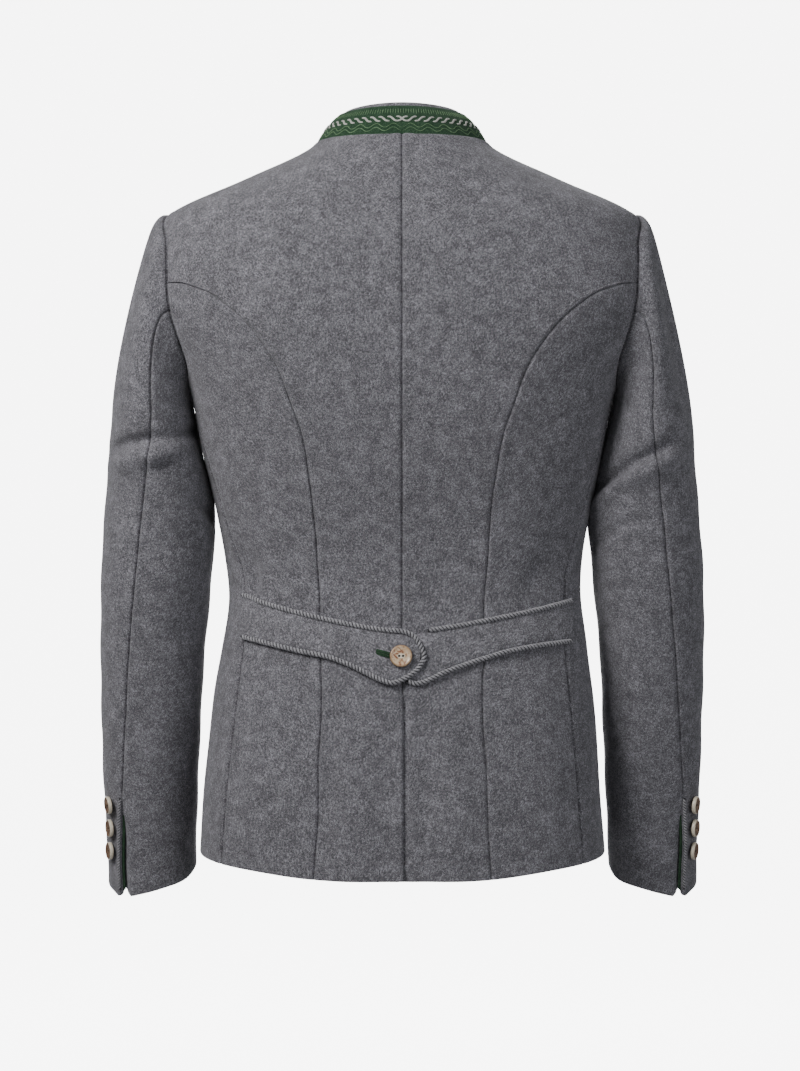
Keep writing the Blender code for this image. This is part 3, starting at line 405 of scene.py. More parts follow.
def reachFrom(points, axis, fromEnd=False):
    steps = np.linalg.norm(np.diff(points, axis=axis), axis=-1)
    pad = [(0, 0), (0, 0)]
    if fromEnd:
        pad[axis] = (0, 1)
        steps = np.flip(np.cumsum(np.flip(np.pad(steps, pad), axis), axis), axis)
        return steps
    pad[axis] = (1, 0)
    return np.cumsum(np.pad(steps, pad), axis)


def seamLift(distance, run=0.0, phase=0.0):
    # the cloth dives into a seam, swells beside it and puckers a little along it
    swell = 0.00055 * np.exp(-(((distance - 0.0050) / 0.0032) ** 2))
    pucker = np.sin(run * 2 * math.pi / 0.0105 + phase) + 0.6 * np.sin(run * 2 * math.pi / 0.0173 + 2 * phase)
    pucker = pucker * 0.00011 * np.exp(-(((distance - 0.004) / 0.0060) ** 2))
    return swell + pucker - 0.0019 * np.exp(-((distance / 0.0010) ** 2))


def foldLift(distance):
    # a turned edge rounds off
    return -0.00055 * np.exp(-((distance / 0.0008) ** 2))


def solidFrom(name, vertices, faces, material, sharpAngle=55):
    mesh = bpy.data.meshes.new(name)
    mesh.from_pydata(np.asarray(vertices).tolist(), [], faces)
    shell = bmesh.new()
    shell.from_mesh(mesh)
    bmesh.ops.recalc_face_normals(shell, faces=shell.faces)
    shell.to_mesh(mesh)
    shell.free()
    mesh.shade_smooth()
    mesh.set_sharp_from_angle(angle=math.radians(sharpAngle))
    mesh.materials.append(material)
    piece = bpy.data.objects.new(name, mesh)
    bpy.context.scene.collection.objects.link(piece)
    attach(piece, "root")
    return piece


def clothFrom(name, outer, inner, material, kept=None):
    rows, columns = outer.shape[:2]
    if kept is None:
        kept = np.ones((rows - 1, columns - 1), bool)
    corner = np.arange(rows * columns).reshape(rows, columns)
    shift = rows * columns
    a, b = corner[:-1, :-1][kept], corner[:-1, 1:][kept]
    c, d = corner[1:, 1:][kept], corner[1:, :-1][kept]
    faces = np.stack([a, b, c, d], axis=-1).tolist()
    faces += (np.stack([d, c, b, a], axis=-1) + shift).tolist()
    edges = set()
    for ring in zip(a.tolist(), b.tolist(), c.tolist(), d.tolist()):
        for start, end in zip(ring, ring[1:] + ring[:1]):
            if (end, start) in edges:
                edges.discard((end, start))
            else:
                edges.add((start, end))
    faces += [(end, start, start + shift, end + shift) for start, end in sorted(edges)]
    points = np.concatenate([outer.reshape(-1, 3), inner.reshape(-1, 3)])
    used = sorted({spot for face in faces for spot in face})
    renumbered = {old: new for new, old in enumerate(used)}
    faces = [tuple(renumbered[spot] for spot in face) for face in faces]
    return solidFrom(name, points[used], faces, material)


def drawnIn(points, near, edges):
    moved = points.copy()
    for word, edge, neighbour in (("left", (slice(None), 0), (slice(None), 2)),
                                  ("right", (slice(None), -1), (slice(None), -3)),
                                  ("top", (0,), (2,)), ("bottom", (-1,), (-3,))):
        if word in edges:
            line = near[edge]
            ahead = unitOf(np.gradient(line, axis=0))
            step = near[neighbour] - line
            step = unitOf(step - ahead * np.sum(step * ahead, axis=-1, keepdims=True))
            moved[edge] -= step * shape["lapOver"]
    return moved


def bodyPanel(name, node, grid, seams, folds, material, lift=0.0, kept=None, centreSeam=None):
    angle, height = grid[..., 0], grid[..., 1]
    plain = torsoAt(angle, height)
    runs = {"left": reachFrom(plain, 0), "right": reachFrom(plain, 0),
            "top": reachFrom(plain, 1), "bottom": reachFrom(plain, 1)}
    far = {"left": reachFrom(plain, 1), "right": reachFrom(plain, 1, True),
           "top": reachFrom(plain, 0), "bottom": reachFrom(plain, 0, True)}
    shaping = np.zeros(angle.shape) + lift
    for phase, word in enumerate(seams):
        run = runs[word] if word != "top" else 0.0
        shaping = shaping + seamLift(far[word], run, phase * 1.7 + len(name))
    for word in folds:
        shaping = shaping + foldLift(far[word])
    if centreSeam:
        place, fade = centreSeam
        away = np.abs(far["left"] - far["left"][:, place:place + 1])
        shaping = shaping + seamLift(away, runs["left"], 0.4) * fade[:, None]
    outside = torsoAt(angle, height, shaping)
    inside = torsoAt(angle, height, np.minimum(shaping, lift) * 0.35 + lift * 0.65 - shape["wall"])
    outer = drawnIn(outside, plain, seams)
    inner = drawnIn(inside, plain, seams)
    piece = clothFrom(name, outer, inner, material, kept)
    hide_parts(node)
    return piece


# Surface colours and fibres

def newGroup(name, inputs, outputs):
    group = bpy.data.node_groups.new(name, "ShaderNodeTree")
    for label, kind, start in inputs:
        socket = group.interface.new_socket(name=label, in_out="INPUT", socket_type=kind)
        if start is not None:
            socket.default_value = start
    for label, kind in outputs:
        group.interface.new_socket(name=label, in_out="OUTPUT", socket_type=kind)
    return group, group.nodes.new("NodeGroupInput"), group.nodes.new("NodeGroupOutput")


def mathNode(tree, operation, first, second=0.0, third=None, clamp=False):
    node = tree.nodes.new("ShaderNodeMath")
    node.operation = operation
    node.use_clamp = clamp
    for place, value in enumerate((first, second, third)):
        if value is None:
            continue
        if isinstance(value, (int, float)):
            node.inputs[place].default_value = value
        else:
            tree.links.new(value, node.inputs[place])
    return node.outputs[0]


def noiseNode(tree, vector, scale, detail=2.0, rough=0.5, distortion=0.0):
    node = tree.nodes.new("ShaderNodeTexNoise")
    node.inputs["Scale"].default_value = scale
    node.inputs["Detail"].default_value = detail
    node.inputs["Roughness"].default_value = rough
    node.inputs["Distortion"].default_value = distortion
    tree.links.new(vector, node.inputs["Vector"])
    return node.outputs[0]


def turnedVector(tree, vector, turn, stretch):
    node = tree.nodes.new("ShaderNodeMapping")
    node.vector_type = "TEXTURE"
    node.inputs["Rotation"].default_value = [math.radians(a) for a in turn]
    node.inputs["Scale"].default_value = stretch
    tree.links.new(vector, node.inputs["Vector"])
    return node.outputs[0]


def fibreGroup():
    # felted wool: clumps of mixed fibres under short hairs lying in several directions
    group, given, result = newGroup("feltedWool", (("Vector", "NodeSocketVector", None),),
                                    (("Tone", "NodeSocketFloat"), ("Height", "NodeSocketFloat")))
    vector = given.outputs["Vector"]
    clumps = noiseNode(group, vector, 560.0, 4.0, 0.70)
    patches = noiseNode(group, vector, 90.0, 3.0, 0.60)
    hairs = None
    for turn in ((8, 38, 12), (-10, -34, -16), (35, 8, 62), (-28, 82, 20)):
        laid = turnedVector(group, vector, turn, (4.6, 0.60, 0.60))
        one = noiseNode(group, laid, 1150.0, 1.0, 0.5, 0.30)
        one = mathNode(group, "POWER", one, 2.0)
        hairs = one if hairs is None else mathNode(group, "MAXIMUM", hairs, one)
    tone = mathNode(group, "MULTIPLY_ADD", clumps, 2.1, -1.05)
    tone = mathNode(group, "MULTIPLY_ADD", hairs, 3.7, tone)
    tone = mathNode(group, "MULTIPLY_ADD", patches, 1.0, tone)
    tone = mathNode(group, "SUBTRACT", tone, 1.48, clamp=True)
    group.links.new(tone, result.inputs["Tone"])
    height = mathNode(group, "MULTIPLY_ADD", hairs, 0.7, clumps)
    group.links.new(height, result.inputs["Height"])
    return group


feltedWool = fibreGroup()


def woolMaterial(name, look):
    material = bpy.data.materials.new(name)
    material.use_nodes = True
    tree = material.node_tree
    shader = tree.nodes["Principled BSDF"]
    shader.inputs["Roughness"].default_value = look["rough"]
    shader.inputs["Specular IOR Level"].default_value = 0.18
    shader.inputs["Sheen Weight"].default_value = look["sheen"]
    shader.inputs["Sheen Roughness"].default_value = 0.55
    shader.inputs["Sheen Tint"].default_value = (*look["sheenTint"], 1)
    place = tree.nodes.new("ShaderNodeTexCoord").outputs["Object"]
    fibres = tree.nodes.new("ShaderNodeGroup")
    fibres.node_tree = feltedWool
    tree.links.new(place, fibres.inputs["Vector"])
    ramp = tree.nodes.new("ShaderNodeValToRGB")
    stops = look["tones"]
    ramp.color_ramp.elements[0].position = stops[0][0]
    ramp.color_ramp.elements[0].color = (*stops[0][1], 1)
    ramp.color_ramp.elements[1].position = stops[-1][0]
    ramp.color_ramp.elements[1].color = (*stops[-1][1], 1)
    for spot, colour in stops[1:-1]:
        ramp.color_ramp.elements.new(spot).color = (*colour, 1)
    tree.links.new(fibres.outputs["Tone"], ramp.inputs["Fac"])
    tree.links.new(ramp.outputs["Color"], shader.inputs["Base Color"])
    bump = tree.nodes.new("ShaderNodeBump")
    bump.inputs["Strength"].default_value = look["nap"]
    bump.inputs["Distance"].default_value = 0.0006
    tree.links.new(fibres.outputs["Height"], bump.inputs["Height"])
    tree.links.new(bump.outputs["Normal"], shader.inputs["Normal"])
    return material


def greys(level, blue=0.014):
    return [(spot, (level * k, level * k * 0.985, level * k + blue * k))
            for spot, k in ((0.0, 0.42), (0.32, 0.78), (0.60, 1.12), (1.0, 2.15))]


loden = woolMaterial("loden", {"rough": 0.93, "sheen": 0.22, "sheenTint": (0.95, 0.95, 1.0), "nap": 0.55,
                               "tones": greys(0.150)})
beltLoden = woolMaterial("beltLoden", {"rough": 0.93, "sheen": 0.20, "sheenTint": (0.95, 0.95, 1.0),
                                       "nap": 0.45, "tones": greys(0.160)})
cordWool = woolMaterial("cordWool", {"rough": 0.80, "sheen": 0.12, "sheenTint": (0.9, 0.9, 1.0), "nap": 0.20,
                                     "tones": [(0.2, (0.120, 0.119, 0.128)), (0.9, (0.225, 0.223, 0.236))]})
greenFelt = woolMaterial("greenFelt", {
    "rough": 0.95, "sheen": 0.15, "sheenTint": (0.6, 0.8, 0.65), "nap": 0.35,
    "tones": [(0.0, (0.011, 0.033, 0.016)), (0.5, (0.019, 0.050, 0.025)), (1.0, (0.045, 0.090, 0.050))]})


def rangeNode(tree, value, start, stop, low=0.0, high=1.0, curve="LINEAR"):
    node = tree.nodes.new("ShaderNodeMapRange")
    node.interpolation_type = curve
    for socket, number in (("From Min", start), ("From Max", stop), ("To Min", low), ("To Max", high)):
        node.inputs[socket].default_value = number
    tree.links.new(value, node.inputs["Value"])
    return node.outputs["Result"]


def mixNode(tree, share, first, second, blend="MIX"):
    node = tree.nodes.new("ShaderNodeMix")
    node.data_type = "RGBA"
    node.blend_type = blend
    for socket, value in ((0, share), (6, first), (7, second)):
        if isinstance(value, (float, tuple)):
            node.inputs[socket].default_value = value
        else:
            tree.links.new(value, node.inputs[socket])
    return node.outputs[2]


# painted shade where the plies meet and painted highlight on their crowns, as multipliers of the cord colour
plies = {"meet": 0.66, "crown": 0.96, "dark": 0.10, "light": 1.85}


# Paints shade into the grooves between the plies of a twisted cord and a highlight on each ply's crown.
def shadeBetweenPlies(material):
    tree = material.node_tree  # twisted cord is darker where its plies meet
    shader = tree.nodes["Principled BSDF"]
    plain = shader.inputs["Base Color"].links[0].from_socket
    apart = tree.nodes.new("ShaderNodeSeparateXYZ")
    tree.links.new(tree.nodes.new("ShaderNodeTexCoord").outputs["UV"], apart.inputs[0])
    shade = rangeNode(tree, apart.outputs["X"], plies["meet"], plies["crown"], plies["dark"], plies["light"],
                      "SMOOTHSTEP")
    tree.links.new(mixNode(tree, 1.0, plain, shade, "MULTIPLY"), shader.inputs["Base Color"])


shadeBetweenPlies(cordWool)
paleGreenThread = woolMaterial("paleGreenThread", {
    "rough": 0.6, "sheen": 0.1, "sheenTint": (0.8, 1.0, 0.8), "nap": 0.2,
    "tones": [(0.0, (0.080, 0.160, 0.075)), (1.0, (0.190, 0.300, 0.160))]})
silverThread = woolMaterial("silverThread", {
    "rough": 0.45, "sheen": 0.1, "sheenTint": (1.0, 1.0, 1.0), "nap": 0.2,
    "tones": [(0.0, (0.330, 0.340, 0.310)), (1.0, (0.560, 0.570, 0.520))]})
print("materials made")

# Panels of the body

nearEdge = np.array([0.0, 0.0005, 0.0011, 0.0019, 0.0030, 0.0046])
firstStations = np.array([0.0, 6.0, 9.0, 12.0, 15.0, 18.5])
backStations = np.concatenate([firstStations, np.linspace(21.0, 79.0, 26)])
frontStations = -np.concatenate([firstStations, np.linspace(21.0, 206.0, 74)])
seamReach = 0.56
lowerShares = np.concatenate([nearEdge / seamReach,
                              np.linspace(0.0072 / seamReach, 1 - 0.0072 / seamReach, 168),
                              1 - nearEdge[::-1] / seamReach])


def seamLine(top, table):
    scale = np.array([0.0018, 1.0])
    line = along(np.concatenate([top, table]) * scale, lowerShares) / scale
    end = hemHeight(line[-1, 0])
    line[:, 1] = line[0, 1] + (line[:, 1] - line[0, 1]) * (end - line[0, 1]) / (line[-1, 1] - line[0, 1])
    return line


seamAcross, seamHeights = np.array(princessSeam).T
princess = seamLine(armholeAt(np.array([79.0])),
                    np.stack([behindAngle(seamAcross, seamHeights), seamHeights], axis=-1))
sideLine = seamLine(armholeAt(np.array([154.0])), np.array(sideSeam))


def topLineFrom(start, turned, neckCount=24, shoulderCount=28):
    neck = np.linspace(start, 90.0, neckCount)
    neckPart = np.stack([neck, neckHeight(neck) if turned else np.full(neck.shape, 0.004)], axis=-1)
    low = shape["armholeMiddle"] + shape["armholeHalfHeight"]
    heights = np.linspace(0.004, low, shoulderCount + 1)[1:]
    drop = np.stack([np.full(heights.shape, 90.0), heights], axis=-1)
    return np.concatenate([neckPart, drop]), (neckCount - 1) / (neckCount + shoulderCount - 1)


def centreHeights(opposite, besideCount, high, low):
    start = opposite[besideCount] - 0.036
    reach = high - start
    further = np.linspace(0.0072 / reach, 1, besideCount + 1 - len(nearEdge))
    shares = np.concatenate([nearEdge / reach, further])
    beside = high - reach * shares[:-1]
    below = opposite[besideCount:] - 0.036 * (1 - lowerShares) ** 2 + (low - opposite[-1]) * lowerShares
    return np.concatenate([beside, below])


def columnShares(count, width, extra=()):
    return np.sort(np.concatenate([closeAtEnds(count, width), extra]))


vent = {"drop": 0.0027, "under": (0.030, 0.022, 0.014, 0.007, 0.002)}
lapOffsets = np.concatenate([-0.018 + np.array([0.0, 0.0005, 0.0011, 0.0019, 0.0030, 0.0046]),
                             np.linspace(-0.011, 0.030, 13)])


def backPanels():
    right = np.concatenate([armholeAt(backStations[:-1]), princess])
    top, corner = topLineFrom(0.0, False)
    heights = centreHeights(right[:, 1], len(backStations) - 1, 0.004, float(hemHeight(0.0)))
    left = np.stack([np.zeros(len(right)), heights], axis=-1)
    below = np.linspace(0.0, princess[-1, 0], 40)
    bottom = np.stack([below, hemHeight(below)], axis=-1)
    grid = filled(top, bottom, left, right, columnShares(30, 0.090, (corner,)))
    opened = easedStep(shape["ventTop"], shape["ventTop"] - 0.012, heights)
    depth = column(torsoSections, heights, 2)

    flap = grid.copy()
    reach = easedStep(30.0, 0.0, grid[..., 0])
    flap[..., 0] -= reach * (opened * 0.0014 / depth * 180 / math.pi)[:, None]
    corner = np.clip(1 - np.abs(plainDistance(flap, 0)) / 0.006, 0, 1)
    flap[..., 1] += (0.006 * (1 - np.sqrt(1 - corner**2))) * easedStep(-0.690, -0.7065, flap[..., 1])
    proud = 0.0008 * np.exp(-plainDistance(flap, 0) / 0.012) * opened[:, None]
    bodyPanel("backLeft", "back_left", flap, ("left", "right", "top"), ("bottom",), loden, lift=proud)

    under = [np.stack([np.degrees(np.arctan2(offset, depth)), heights], axis=-1) for offset in vent["under"]]
    mirror = grid * np.array([-1.0, 1.0])
    mirror[:, 0, 0] = 0.03
    whole = np.concatenate([np.stack(under, axis=1), mirror], axis=1)
    first = len(under)
    lift = np.zeros(whole.shape[:2])
    lift[:, :first] = -vent["drop"]
    away = plainDistance(mirror, 0)
    lift[:, first:] = -vent["drop"] * opened[:, None] * (1 - easedStep(0.0012, 0.0100, away))
    kept = np.ones((len(heights) - 1, whole.shape[1] - 1), bool)
    fullyOpen = opened > 0.999
    kept[:, :first] = (fullyOpen[:-1] & fullyOpen[1:])[:, None]
    bodyPanel("backRight", "back_right", whole, ("right", "top"), ("bottom",), loden, lift=lift, kept=kept,
              centreSeam=(first, 1 - opened))


def plainDistance(grid, start):
    plain = torsoPlain(grid[..., 0], grid[..., 1])
    steps = np.linalg.norm(np.diff(plain, axis=1), axis=-1)
    return np.cumsum(np.pad(steps, [(0, 0), (1, 0)]), axis=1) - start


def sideBackPanels():
    top = armholeAt(np.linspace(79.0, 154.0, 60))
    below = np.linspace(princess[-1, 0], sideLine[-1, 0], 30)
    bottom = np.stack([below, hemHeight(below)], axis=-1)
    grid = filled(top, bottom, princess, sideLine, columnShares(34, 0.110))
    for word, grow in (("Left", 1.0), ("Right", -1.0)):
        bodyPanel("sideBack" + word, "side_back_" + word.lower(), grid * np.array([grow, 1.0]),
                  ("left", "right", "top"), ("bottom",), loden)


def frontPanels():
    right = np.concatenate([armholeAt(frontStations[:-1]), sideLine])
    turns = 180.0 - np.degrees(np.arctan2(lapOffsets, shape["neckDepth"]))
    top, corner = topLineFrom(turns[-1], True)
    low = float(hemHeight(turns[-1]))
    heights = centreHeights(right[:, 1], len(frontStations) - 1, top[0, 1], low)
    fade = ((heights - heights[-1]) / (heights[0] - heights[-1])) ** 3
    lines = []
    for offset, turn in zip(lapOffsets, turns):
        plainTurn = 180.0 - np.degrees(np.arctan2(offset, column(torsoSections, heights, 3)))
        rise = float(neckHeight(np.array([turn]))[0]) - heights[0]
        lines.append(np.stack([plainTurn + (turn - plainTurn[0]) * fade, heights + rise * fade], axis=-1))
    below = np.linspace(lines[-1][-1, 0], sideLine[-1, 0], 40)
    bottom = np.stack([below, hemHeight(below)], axis=-1)
    inner = np.concatenate([np.linspace(0.0, 1 - 0.0068 / 0.2, 64)[1:], 1 - nearEdge[::-1] / 0.2])
    rest = filled(top, bottom, lines[-1], right, np.sort(np.append(inner, corner)))
    grid = np.concatenate([np.stack(lines, axis=1), rest], axis=1)
    offsets = np.concatenate([lapOffsets, np.full(rest.shape[1], 1.0)])
    bodyPanel("frontLeft", "front_left", grid, ("right", "top"), ("left", "bottom"), loden)
    drop = np.broadcast_to(-0.0027 * (1 - easedStep(0.0195, 0.030, offsets)), grid.shape[:2])
    bodyPanel("frontRight", "front_right", grid * np.array([-1.0, 1.0]), ("right", "top"), ("left", "bottom"),
              loden, lift=drop)


backPanels()
sideBackPanels()
frontPanels()
print("body panels sewn")

# Sleeves

cuffSlit = {"top": 0.783, "proud": 0.0030, "under": 5.0, "sink": 0.0042}
capShares = np.concatenate([[0.0, 0.005, 0.011, 0.019, 0.030, 0.046], np.linspace(0.070, 1.0, 42)[:-1]])
armShares = np.concatenate([np.linspace(0.0, 0.985, 164), 1 - np.array([4.6, 3.0, 1.9, 1.1, 0.5, 0.0]) / 468])
sleeveCuts = {
    "top": {"first": -75.0, "last": 97.0, "hind": "right"},
    "under": {"first": 97.0, "last": 285.0, "hind": "left"},
}


def cuffEnd(angle):
    wrapped = (np.asarray(angle) + 80.0) % 360.0 - 80.0
    return column(cuffLine, wrapped, 1)


def sleevePoints(stations, side, first, last, slitShift=0.0):
    # rows from the armhole to the cuff; slitShift turns the hind edge below the slit's top
    atBicep = sleeveAngles(stations, np.full(stations.shape, shape["bicep"]), first, last)
    rows = [sleeveCap(stations, atBicep, np.full(stations.shape, share), side) for share in capShares]
    nearHind = (stations - 97.0) / (last - first)
    weight = easedStep(0.16, 0.0, np.abs(nearHind))
    for share in armShares:
        height = np.full(stations.shape, shape["bicep"] + share * (-0.735 - shape["bicep"]))
        shift = slitShift * weight * easedStep(cuffSlit["top"], cuffSlit["top"] + 0.05, share)
        angle = sleeveAngles(stations, height, first, last) + shift
        height = shape["bicep"] + share * (cuffEnd(angle) - shape["bicep"])
        rows.append(sleeveSection(angle, height, side))
    return np.array(rows)


def gridNormals(points, outwards):
    across = np.gradient(points, axis=1)
    down = np.gradient(points, axis=0)
    normals = unitOf(np.cross(down, across))
    return normals if np.sum(normals * outwards) > 0 else -normals


def sleevePanel(name, node, side, kind):
    how = sleeveCuts[kind]
    first, last = how["first"], how["last"]
    stations = first + (last - first) * closeAtEnds(46, 0.170)
    wide = np.concatenate([[first - 0.6], stations, [last + 0.6]])
    slitShift = -cuffSlit["under"] if kind == "under" else 0.0
    points = sleevePoints(wide, side, first, last, slitShift)
    middle = np.array([0.247, -0.02, 0.0])
    outwards = (points - middle) * np.array([1.0, 1.0, 0.0])
    outwards[:len(capShares)] += np.array([0.0, 0.0, 0.05])
    normals = gridNormals(points, outwards)[:, 1:-1]
    points = points[:, 1:-1]
    pairs = armholeAt(stations)
    facing = torsoNormal(pairs[:, 0] * side, pairs[:, 1]) * np.array([side, 1.0, 1.0])
    under = 1 - np.clip((np.abs(stations % 360.0 - 180.0) - 26.0) / 35.0, 0, 1)[:, None]
    normals[0] = unitOf(facing * (1 - under) + normals[1] * under)
    points[0] = points[0] + facing * under * 0.0014
    down = reachFrom(points, 0)
    hind = reachFrom(points, 1, fromEnd=how["hind"] == "right")
    fore = reachFrom(points, 1, fromEnd=how["hind"] == "left")
    toHem = reachFrom(points, 0, True)
    rowShare = np.concatenate([np.full(len(capShares), -1.0), armShares])[:, None]
    slit = easedStep(cuffSlit["top"] - 0.006, cuffSlit["top"] + 0.012, rowShare)
    shaping = seamLift(down, reachFrom(points, 1), 1.0) + foldLift(toHem)
    shaping = shaping + seamLift(fore, down, 2.0) + seamLift(hind, down, 3.0) * (1 - slit)
    growth = easedStep(cuffSlit["top"] - 0.01, 0.90, rowShare)
    if kind == "top":
        proud = growth * cuffSlit["proud"] * np.exp(-((hind / 0.0085) ** 2))
        shaping = shaping + proud + foldLift(hind) * slit
        rounding = np.clip(1 - hind / 0.0060, 0, 1)
        points[..., 2] += 0.0060 * (1 - np.sqrt(1 - rounding**2)) * easedStep(0.012, 0.0, toHem)
    else:
        shaping = shaping - growth * cuffSlit["sink"] * easedStep(0.0120, 0.0040, hind)
        rounding = easedStep(0.0120, 0.0030, hind)
        points[..., 2] += 0.0080 * rounding * easedStep(0.030, 0.0, toHem)
    outer = drawnIn(points + normals * shaping[..., None], points, ("left", "right", "top"))
    inner = points + normals * (shaping * 0.5 - shape["wall"])[..., None]
    inner = drawnIn(inner, points, ("left", "right", "top"))
    flip = np.array([side, 1.0, 1.0])
    piece = clothFrom(name, outer * flip, inner * flip, loden)
    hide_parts(node)
    return outer, normals, rowShare[:, 0]


def twoPly(name, node, line, radius, pitch, material, hand=1.0, phase=0.0):
    line = np.asarray(line, float)
    steps = np.linalg.norm(np.diff(line, axis=0), axis=1)
    length = float(steps.sum())
    count = int(length / pitch * 11) + 2
    line = along(line, np.linspace(0, 1, count))
    ahead = unitOf(np.gradient(line, axis=0))
    turned = unitOf(np.cross(ahead[0], np.array([0.31, 0.22, 0.92])))
    frames = []
    for forward in ahead:
        turned = unitOf(turned - forward * np.dot(turned, forward))
        frames.append((turned, np.cross(forward, turned)))
    sides = 8
    vertices, faces, depths = [], [], []
    strand = radius * 0.49
    taper = np.minimum(1.0, 0.55 + np.minimum(np.arange(count), np.arange(count)[::-1]) * 0.16)
    for ply in (0, 1):
        start = len(vertices)
        centres = []
        for row, (across, over) in enumerate(frames):
            swing = hand * 2 * math.pi * row * length / (count - 1) / pitch + ply * math.pi + phase
            reach = radius * 0.50 * taper[row]
            centres.append(line[row] + reach * (math.cos(swing) * across + math.sin(swing) * over))
        centres = np.array(centres)
        run = unitOf(np.gradient(centres, axis=0))
        for row, (across, over) in enumerate(frames):
            first = unitOf(across - run[row] * np.dot(across, run[row]))
            second = np.cross(run[row], first)
            for k in range(sides):
                turn = 2 * math.pi * k / sides
                offset = strand * taper[row] * (math.cos(turn) * first + math.sin(turn) * second)
                vertices.append(centres[row] + offset)
                depths.append(float(np.linalg.norm(vertices[-1] - line[row])) / radius)
        for row in range(count - 1):
            for k in range(sides):
                a, b = start + row * sides + k, start + row * sides + (k + 1) % sides
                faces.append((a, b, b + sides, a + sides))
        for row, outwards in ((0, -1), (count - 1, 1)):
            vertices.append(centres[row] + run[row] * outwards * strand * 0.6)
            depths.append(0.8)
            ring = [start + row * sides + k for k in range(sides)]
            tip = len(vertices) - 1
            faces += [(ring[k], ring[(k + 1) % sides], tip) for k in range(sides)]
    piece = solidFrom(name, vertices, faces, material, 60)
    # each point's distance from the cord's middle, read by the painted ply shade and highlight
    plies = piece.data.uv_layers.new(name="plies")
    for loop in piece.data.loops:
        plies.data[loop.index].uv = (depths[loop.vertex_index], 0.5)
    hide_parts(node)
    return piece


def cuffTrim(word, side, outer, normals, rowShare):
    # the green edge inside the slit's flap and the cord along it
    flip = np.array([side, 1.0, 1.0])
    rows = np.where(rowShare > cuffSlit["top"] + 0.004)[0]
    low = rows[:-5]
    edge, beside, facing = outer[rows, -1], outer[rows, -8], normals[rows, -1]
    out = unitOf(edge - beside)
    steps = ((-0.0060, 0.0), (-0.0040, 0.0), (-0.0015, 0.0), (0.0008, 0.0), (0.0021, 0.0002),
             (0.0026, 0.0005))
    strips = [edge + out * reach - facing * (0.0021 + sink) for reach, sink in steps]
    sheet = np.stack(strips, axis=1)
    begin = easedStep(0, 14, np.arange(len(rows)))[:, None, None]
    sheet = sheet * begin + np.stack([edge - facing * 0.0024 - out * (0.005 - 0.0012 * k) for k in range(6)],
                                     axis=1) * (1 - begin)
    piece = clothFrom("cuffFacing" + word, sheet * flip, (sheet - facing[:, None] * 0.0011) * flip, greenFelt)
    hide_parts("cuff_facing_" + word.lower())
    line = outer[low, -4] + normals[low, -1] * 0.0013
    twoPly("cuffCord" + word, "cuff_cord_" + word.lower(), line[::4] * flip, 0.0017, 0.0056, cordWool,
           hand=side)


for word, side in (("Left", 1), ("Right", -1)):
    lowWord = word.lower()
    outer, normals, rowShare = sleevePanel("topSleeve" + word, "top_sleeve_" + lowWord, side, "top")
    cuffTrim(word, side, outer, normals, rowShare)
    sleevePanel("underSleeve" + word, "under_sleeve_" + lowWord, side, "under")
print("sleeves set in")

# Collar and its embroidery

collar = {"rise": 0.0285, "edgeRise": 0.0060, "endTurn": 9.0}


def collarPoint(angle, share, drop):
    footHeight = neckHeight(angle)
    foot = torsoPlain(angle, footHeight)
    turn = np.radians(angle)
    depth = np.where(np.cos(turn) >= 0, 0.0575, 0.0790)
    square = 2.15
    radius = ((np.abs(np.sin(turn)) / 0.0625) ** square + (np.abs(np.cos(turn)) / depth) ** square)
    radius = radius ** (-1 / square)
    topHeight = footHeight + collar["rise"] + 0.002 * (1 - np.cos(turn)) - 0.0035 * np.sin(turn) ** 2
    top = np.stack([radius * np.sin(turn), radius * np.cos(turn), topHeight], axis=-1)
    share = np.asarray(share)[..., None]
    line = foot * (1 - share) + top * share
    line[..., 2] += 0.0001
    lean = unitOf(foot - top)
    outwards = foot * np.array([1.0, 1.0, 0.0])
    outwards = unitOf(outwards - lean * np.sum(outwards * lean, axis=-1, keepdims=True))
    outwards[..., 2] *= np.clip(share[..., 0] * 3, 0, 1)
    drop = np.broadcast_to(drop, share.shape[:-1])
    return line + outwards * (0.0016 * np.sin(math.pi * share) - drop[..., None])


collarEnd = float((180.0 - np.degrees(np.arctan2(np.array([0.005]), shape["neckDepth"])))[0])
halfTurns = np.concatenate([np.linspace(0.0, collarEnd - 2.0, 150),
                            collarEnd - np.array([1.4, 0.9, 0.5, 0.2, 0.0])])
collarTurns = np.concatenate([-halfTurns[:0:-1], halfTurns])
endRound = np.clip((np.abs(collarTurns) - (collarEnd - collar["endTurn"])) / collar["endTurn"], 0, 1)


def collarLayer(name, node, rowShares, drop, wallThickness, taller, material):
    tall = (1 - 0.28 * endRound**3) * (1 + taller)
    shares = rowShares[:, None] * tall[None]
    angle = np.broadcast_to(collarTurns, shares.shape)
    outer = collarPoint(angle, shares, drop)
    up, round1 = reachFrom(outer, 0), reachFrom(outer, 1)
    fromTop, fromEnd = reachFrom(outer, 0, True), reachFrom(outer, 1, True)
    lift = foldLift(fromTop) + foldLift(round1) + foldLift(fromEnd)
    lift = lift - 0.0004 * np.exp(-(((up - 0.0015) / 0.0010) ** 2))
    if taller == 0:
        middle = np.abs(round1 - round1[:, len(collarTurns) // 2][:, None])
        lift = lift - 0.00035 * np.exp(-((middle / 0.0009) ** 2))
    outer = collarPoint(angle, shares, drop - lift)
    inner = collarPoint(angle, shares, drop + wallThickness + np.minimum(lift, 0) * 0.6)
    piece = clothFrom(name, outer, inner, material)
    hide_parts(node)


